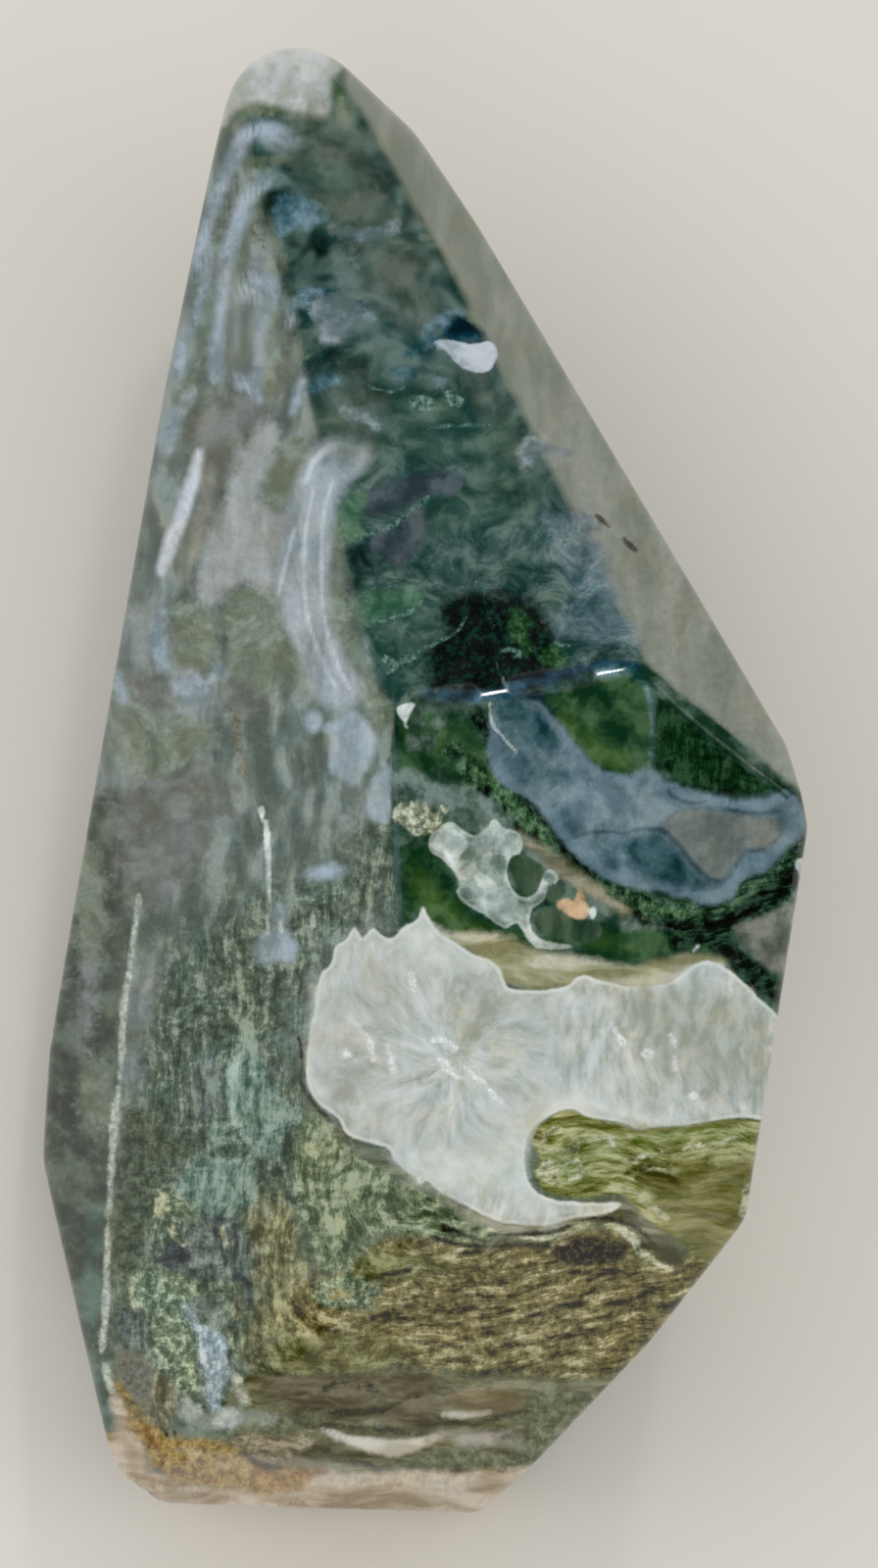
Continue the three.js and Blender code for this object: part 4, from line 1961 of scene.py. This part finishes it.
minerals["softLens"] = {
    "tones": ((110, 110, 92), (138, 136, 122), (164, 160, 150)),
    "texture": "cloud",
    "soft": 0.35,
    "ragged": 0.25,
    "strength": 0.85,
    "marks": {
        "tail": band(
            (436, 1470, 6), (452, 1464, 11), (480, 1468, 13), (510, 1472, 12), (528, 1476, 9),
            (540, 1480, 3)),
        "notch": band((470, 1462, 3), (500, 1464, 4), (520, 1462, 5), (532, 1466, 3)),
    },
}

minerals["pebbles"] = {
    "tones": ((66, 60, 38), (112, 106, 80), (164, 156, 128)),
    "texture": "lichen",
    "spread": (0.38, 0.62),
    "soft": 0.25,
    "ragged": 0.35,
    "strength": 0.8,
    "marks": {
        "nest": patch(
            (228, 1466), (250, 1462), (280, 1466), (314, 1460), (322, 1470), (308, 1482), (296, 1490),
            (276, 1492), (240, 1476)),
        "corner": patch((160, 1400), (176, 1410), (182, 1430), (176, 1450), (160, 1450), (154, 1430)),
    },
}

minerals["violetFoot"] = {
    "tones": ((138, 122, 104), (148, 134, 118), (168, 154, 138)),
    "texture": "cloud",
    "soft": 0.5,
    "ragged": 0.2,
    "strength": 0.75,
    "marks": {
        "foot": patch((118, 1444), (146, 1482), (160, 1498), (146, 1506), (128, 1488)),
    },
}

minerals["faceCracks"] = {
    "tones": ((28, 24, 12), (44, 40, 24), (70, 66, 44)),
    "texture": "fine",
    "soft": 0.12,
    "ragged": 0.12,
    "marks": {
        "first": band((608, 525, 2), (614, 531, 4), (622, 538, 2)),
        "second": band((636, 549, 2), (642, 556, 5), (649, 561, 4)),
    },
}


# shader building
class Wire:  # a socket that reads like a number in Python sums
    def __init__(self, finish, socket):
        self.finish = finish
        self.socket = socket

    def __add__(self, other):
        return self.finish.sum("ADD", self, other)

    def __sub__(self, other):
        return self.finish.sum("SUBTRACT", self, other)

    def __rsub__(self, other):
        return self.finish.sum("SUBTRACT", other, self)

    def __mul__(self, other):
        return self.finish.sum("MULTIPLY", self, other)

    __radd__ = __add__
    __rmul__ = __mul__


class Finish:  # one material and the nodes added to it
    def __init__(self, name):
        self.material = bpy.data.materials.new(name)
        self.material.use_nodes = True
        self.tree = self.material.node_tree
        self.shader = self.tree.nodes["Principled BSDF"]

    def plug(self, socket, value):
        if isinstance(value, Wire):
            self.tree.links.new(value.socket, socket)
        else:
            socket.default_value = value

    def node(self, kind, settings=None, sockets=None):
        added = self.tree.nodes.new(kind)
        for name, value in (settings or {}).items():
            if name == "stops":
                stops = added.color_ramp.elements
                stops.remove(stops[1])
                for number, (place, colour) in enumerate(value):
                    stop = stops[0] if number == 0 else stops.new(place)
                    stop.position = place
                    stop.color = (*colour, 1)
            else:
                setattr(added, name, value)
        for name, value in (sockets or {}).items():
            self.plug(added.inputs[name], value)
        return added

    def out(self, added, name=0):
        return Wire(self, added.outputs[name])

    def sum(self, operation, *values):
        return self.out(self.node("ShaderNodeMath", {"operation": operation}, dict(enumerate(values))))

    def mix(self, share, below, above, blend="MIX"):
        settings = {"data_type": "RGBA", "blend_type": blend}
        return self.out(self.node("ShaderNodeMix", settings, {0: share, 6: below, 7: above}), 2)

    def noise(self, place, scale, detail, roughness, distortion, turn):
        mapped = self.node("ShaderNodeMapping", {}, {
            "Vector": place,
            "Rotation": (0, 0, math.radians(turn)),
            "Scale": scale,
        })
        return self.out(self.node("ShaderNodeTexNoise", {}, {
            "Vector": self.out(mapped),
            "Scale": 1,
            "Detail": detail,
            "Roughness": roughness,
            "Distortion": distortion,
        }))

    def step(self, value, low, high, most=1):  # 0 on the low side, most on the high side, smooth between
        added = self.node("ShaderNodeMapRange", {"interpolation_type": "SMOOTHSTEP", "clamp": False}, {
            "Value": value, "From Min": low, "From Max": high, "To Max": most})
        return self.out(added)

    def field(self, name, vector=False):
        added = self.node("ShaderNodeAttribute", {"attribute_name": name})
        return self.out(added, "Vector" if vector else "Fac")

    def ramp(self, value, stops):
        return self.out(self.node("ShaderNodeValToRGB", {"stops": stops}, {"Fac": value}), "Color")


# the finish of the agate
daylight = {
    "level": 0.9,  # how bright a pure white stone looks under the light below
    "haze": 0.004,  # the surface's own reflection
    "darkest": 0.002,
}
grains = {  # the place it follows, repeats per mm each way, detail, roughness, distortion, turn in degrees
    "fine": ("sheet", (2.6, 2.6, 2.6), 3, 0.7, 0, 0),
    "hazy": ("swirl", (0.42, 0.6, 0.6), 1, 0.5, 0, 20),
    "sharp": ("swirl", (0.6, 0.8, 0.8), 5, 0.7, 0.4, 20),
    "softStreak": ("flow", (0.7, 0.22, 0.6), 1, 0.4, 0, 8),
    "sharpStreak": ("flow", (0.7, 0.22, 0.6), 5, 0.6, 0, 8),
    "granules": ("sheet", (1.5, 1.35, 1.4), 4, 0.78, 0, 0),
    "layers": ("strand", (1.5, 0.3, 0.8), 5, 0.74, 0, 0),
    "rays": ("spray", (1.2, 1.2, 1.2), 4, 0.64, 0.3, 0),
    "veils": ("flow", (1.4, 0.6, 1), 4, 0.6, 0, 0),
    "cloud": ("flow", (0.42, 0.42, 0.42), 5, 0.6, 0, 0),
    "drift": ("swirl", (0.35, 0.35, 0.35), 4, 0.6, 0, 0),
    "edge": ("sheet", (0.75, 0.75, 0.75), 5, 0.72, 0, 0),
    "brush": ("flow", (0.5, 0.14, 0.5), 4, 0.52, 0, 28),
    "bed": ("flow", (0.17, 0.8, 0.4), 5, 0.66, 0, -2),
    "softBed": ("flow", (0.15, 0.7, 0.4), 3, 0.5, 0, -3),
    "inletFlow": ("flow", (0.34, 1.5, 1), 4, 0.74, 0, 6),
}
polish = {
    "gloss": 0.07,  # the roughness
    "worn": 0.5,  # how much rougher the worn ridge is
    "wornEdge": 0.3,  # mm
    "ior": 1.54,
    "specular": 0.28,
    "spread": (0.37, 0.63),  # the part of a texture's range that a mineral's tones cover
    "stray": 5,  # how far an edge strays for each mm that it is ragged
    "sharpFrom": 5,  # mm from the tip, where the moss starts to get sharper
    "sharpAt": 40,
    "sharpest": 0.8,
    "fanEdge": (-3, 2),  # mm, where the fan of crystals fades into veils
    "rimFade": 0.2,
    "grit": 0.5,  # share of the granules in what lies under the quartz
    "driftShare": 0.4,
    "driftStops": [(0.34, (0.58, 0.51, 0.4)), (0.5, (0.5, 0.5, 0.5)), (0.66, (0.44, 0.5, 0.54))],
}
worn = {
    "soft": 0.3,
    "ragged": 0,
    "marks": {  # the ridge below the crown only shines in two places
        "left": band((424, 718, 22), (478, 709, 22)),
        "middle": band((530, 700, 22), (596, 689, 22)),
    },
}


def pigment(tone):  # the colour of the stone that looks like this tone in the picture
    linear = [((value / 255 + 0.055) / 1.055) ** 2.4 if value > 10 else value / 255 / 12.92 for value in tone]
    return tuple(max(daylight["darkest"], (value - daylight["haze"]) / daylight["level"]) for value in linear)


def makeTextures(finish):
    places = {name: finish.field(name, True) for name in ("sheet", "flow", "swirl", "strand", "spray")}
    grain = {name: finish.noise(places[place], *shape) for name, (place, *shape) in grains.items()}
    focus = finish.step(finish.field("fromTip"), polish["sharpFrom"], polish["sharpAt"], polish["sharpest"])
    fan = finish.step(finish.field("quartzHeart"), *polish["fanEdge"])

    def stretched(value, gain):  # more contrast around the middle
        return finish.sum("MULTIPLY_ADD", value, gain, 0.5 - gain / 2)

    def focused(soft, sharp):
        return soft + focus * (sharp - soft)

    granules, layers, sharp = grain["granules"], grain["layers"], grain["sharp"]
    return {
        "moss": stretched(focused(grain["hazy"], sharp), 1.2),
        "granules": stretched(granules, 1.3),
        "lichen": stretched(granules * 0.24 + layers * 0.44 + sharp * 0.32, 2.1),
        "cloud": stretched(grain["cloud"], 1.4),
        "fine": grain["fine"],
        "focus": focus,
        "drift": grain["drift"],
        "edge": grain["edge"] - 0.5,
        "streak": stretched(focused(grain["softStreak"], grain["sharpStreak"]), 1.2),
        "brush": stretched(grain["brush"], 1.3),
        "strata": stretched(layers * 0.64 + granules * 0.36, 1.9),
        "bed": stretched(grain["bed"], 1.4),
        "softBed": stretched(grain["softBed"], 1.4),
        "inletFlow": stretched(grain["inletFlow"], 1.1),
        "feather": stretched(grain["rays"] * fan + grain["veils"] * (1 - fan), 1.3),
    }


def tonesOf(finish, textures, mineral):
    tones = mineral["tones"]
    places = np.linspace(*mineral.get("spread", polish["spread"]), len(tones))
    stops = [(float(place), pigment(tone)) for place, tone in zip(places, tones)]
    return finish.ramp(textures[mineral["texture"]], stops)


def layMineral(finish, textures, colour, depth, mineral):
    if mineral["ragged"]:
        depth = finish.sum("MULTIPLY_ADD", textures["edge"], polish["stray"] * mineral["ragged"], depth)
    own = tonesOf(finish, textures, mineral)
    if "rim" in mineral:
        rim = mineral["rim"]
        off = finish.sum("ABSOLUTE", depth - rim["at"])
        line = finish.step(off, rim["width"], rim["width"] * polish["rimFade"], rim["strength"])
        own = finish.mix(line, own, (*pigment(rim["tone"]), 1))
    soft = mineral["soft"]
    return finish.mix(finish.step(depth, -soft, soft, mineral.get("strength", 1)), colour, own)


def makeAgate(trios):
    finish = Finish("agate")
    textures = makeTextures(finish)
    granules = textures["granules"]
    colour = tonesOf(finish, textures, ground)
    for number, names in enumerate(trios):
        depths = finish.node("ShaderNodeSeparateXYZ", {}, {"Vector": finish.field(f"depths{number}", True)})
        for name, axis in zip(names, "XYZ"):
            if name == "quartz":  # the quartz and what lies on it is smoother
                colour = finish.mix(textures["focus"] * polish["grit"], colour, granules, "OVERLAY")
            colour = layMineral(finish, textures, colour, finish.out(depths, axis), minerals[name])
    drift = finish.ramp(textures["drift"], polish["driftStops"])
    colour = finish.mix(polish["driftShare"], colour, drift, "OVERLAY")
    finish.plug(finish.shader.inputs["Base Color"], colour)
    dull = finish.step(finish.field("wornRidge"), -polish["wornEdge"], polish["wornEdge"], polish["worn"])
    finish.plug(finish.shader.inputs["Roughness"], dull + polish["gloss"])
    finish.plug(finish.shader.inputs["IOR"], polish["ior"])
    finish.plug(finish.shader.inputs["Specular IOR Level"], polish["specular"])
    return finish.material


marked = list(minerals)
trios = [marked[start:start + 3] for start in range(0, len(marked), 3)]  # three minerals share an attribute
for number, names in enumerate(trios):
    depths = [depthInto(minerals[name], across, down) for name in names]
    depths += [np.zeros(len(across))] * (3 - len(names))
    storeField(mesh, f"depths{number}", np.stack(depths, 1))
storeField(mesh, "wornRidge", depthInto(worn, across, down))
print("minerals marked:", len(marked))

agate = bpy.data.objects.new("agate", mesh)
bpy.context.scene.collection.objects.link(agate)
mesh.materials.append(makeAgate(trios))
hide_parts("stone")
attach(agate, "root")
print("agate finished")


# the floor and the light
studio = {
    "floorSize": 6,
    "floorColour": (0.722, 0.69, 0.63),
    "daylight": 0.76,
    "boxes": {  # azimuth clockwise from +Y, elevation, distance, width, height, brightness
        "left": (270, 30, 0.9, 0.8, 0.5, 0.8),
        "front": (190, 42, 0.9, 0.7, 0.5, 1),
        "right": (118, 38, 0.9, 0.6, 0.5, 1.2),
        "spark": (23, 50, 0.7, 0.05, 0.05, 40),
    },
}


def makeFloor():
    half = studio["floorSize"] / 2
    corners = [(-half, -half, 0), (half, -half, 0), (half, half, 0), (-half, half, 0)]
    flat = bpy.data.meshes.new("floor")
    flat.from_pydata(corners, [], [(0, 1, 2, 3)])
    floor = bpy.data.objects.new("floor", flat)
    bpy.context.scene.collection.objects.link(floor)
    finish = Finish("floor")
    finish.plug(finish.shader.inputs["Base Color"], (*studio["floorColour"], 1))
    finish.plug(finish.shader.inputs["Roughness"], 0.9)
    flat.materials.append(finish.material)


def makeLights():
    world = bpy.data.worlds.new("daylight")
    world.use_nodes = True
    world.node_tree.nodes["Background"].inputs["Color"].default_value = (1, 1, 1, 1)
    world.node_tree.nodes["Background"].inputs["Strength"].default_value = studio["daylight"]
    world.cycles_visibility.glossy = False
    bpy.context.scene.world = world
    for name, (azimuth, elevation, distance, width, height, brightness) in studio["boxes"].items():
        azimuth, elevation = math.radians(azimuth), math.radians(elevation)
        level = math.cos(elevation)
        towards = Vector((math.sin(azimuth) * level, math.cos(azimuth) * level, math.sin(elevation)))
        lamp = bpy.data.lights.new(name, "AREA")
        lamp.shape = "RECTANGLE"
        lamp.size = width
        lamp.size_y = height
        lamp.energy = brightness * math.pi * width * height
        holder = bpy.data.objects.new(name, lamp)
        holder.location = view["aim"] + towards * distance
        holder.rotation_euler = towards.to_track_quat("Z", "Y").to_euler()
        bpy.context.scene.collection.objects.link(holder)


makeFloor()
makeLights()
bpy.context.scene.view_settings.view_transform = "Standard"
print("floor and light set")
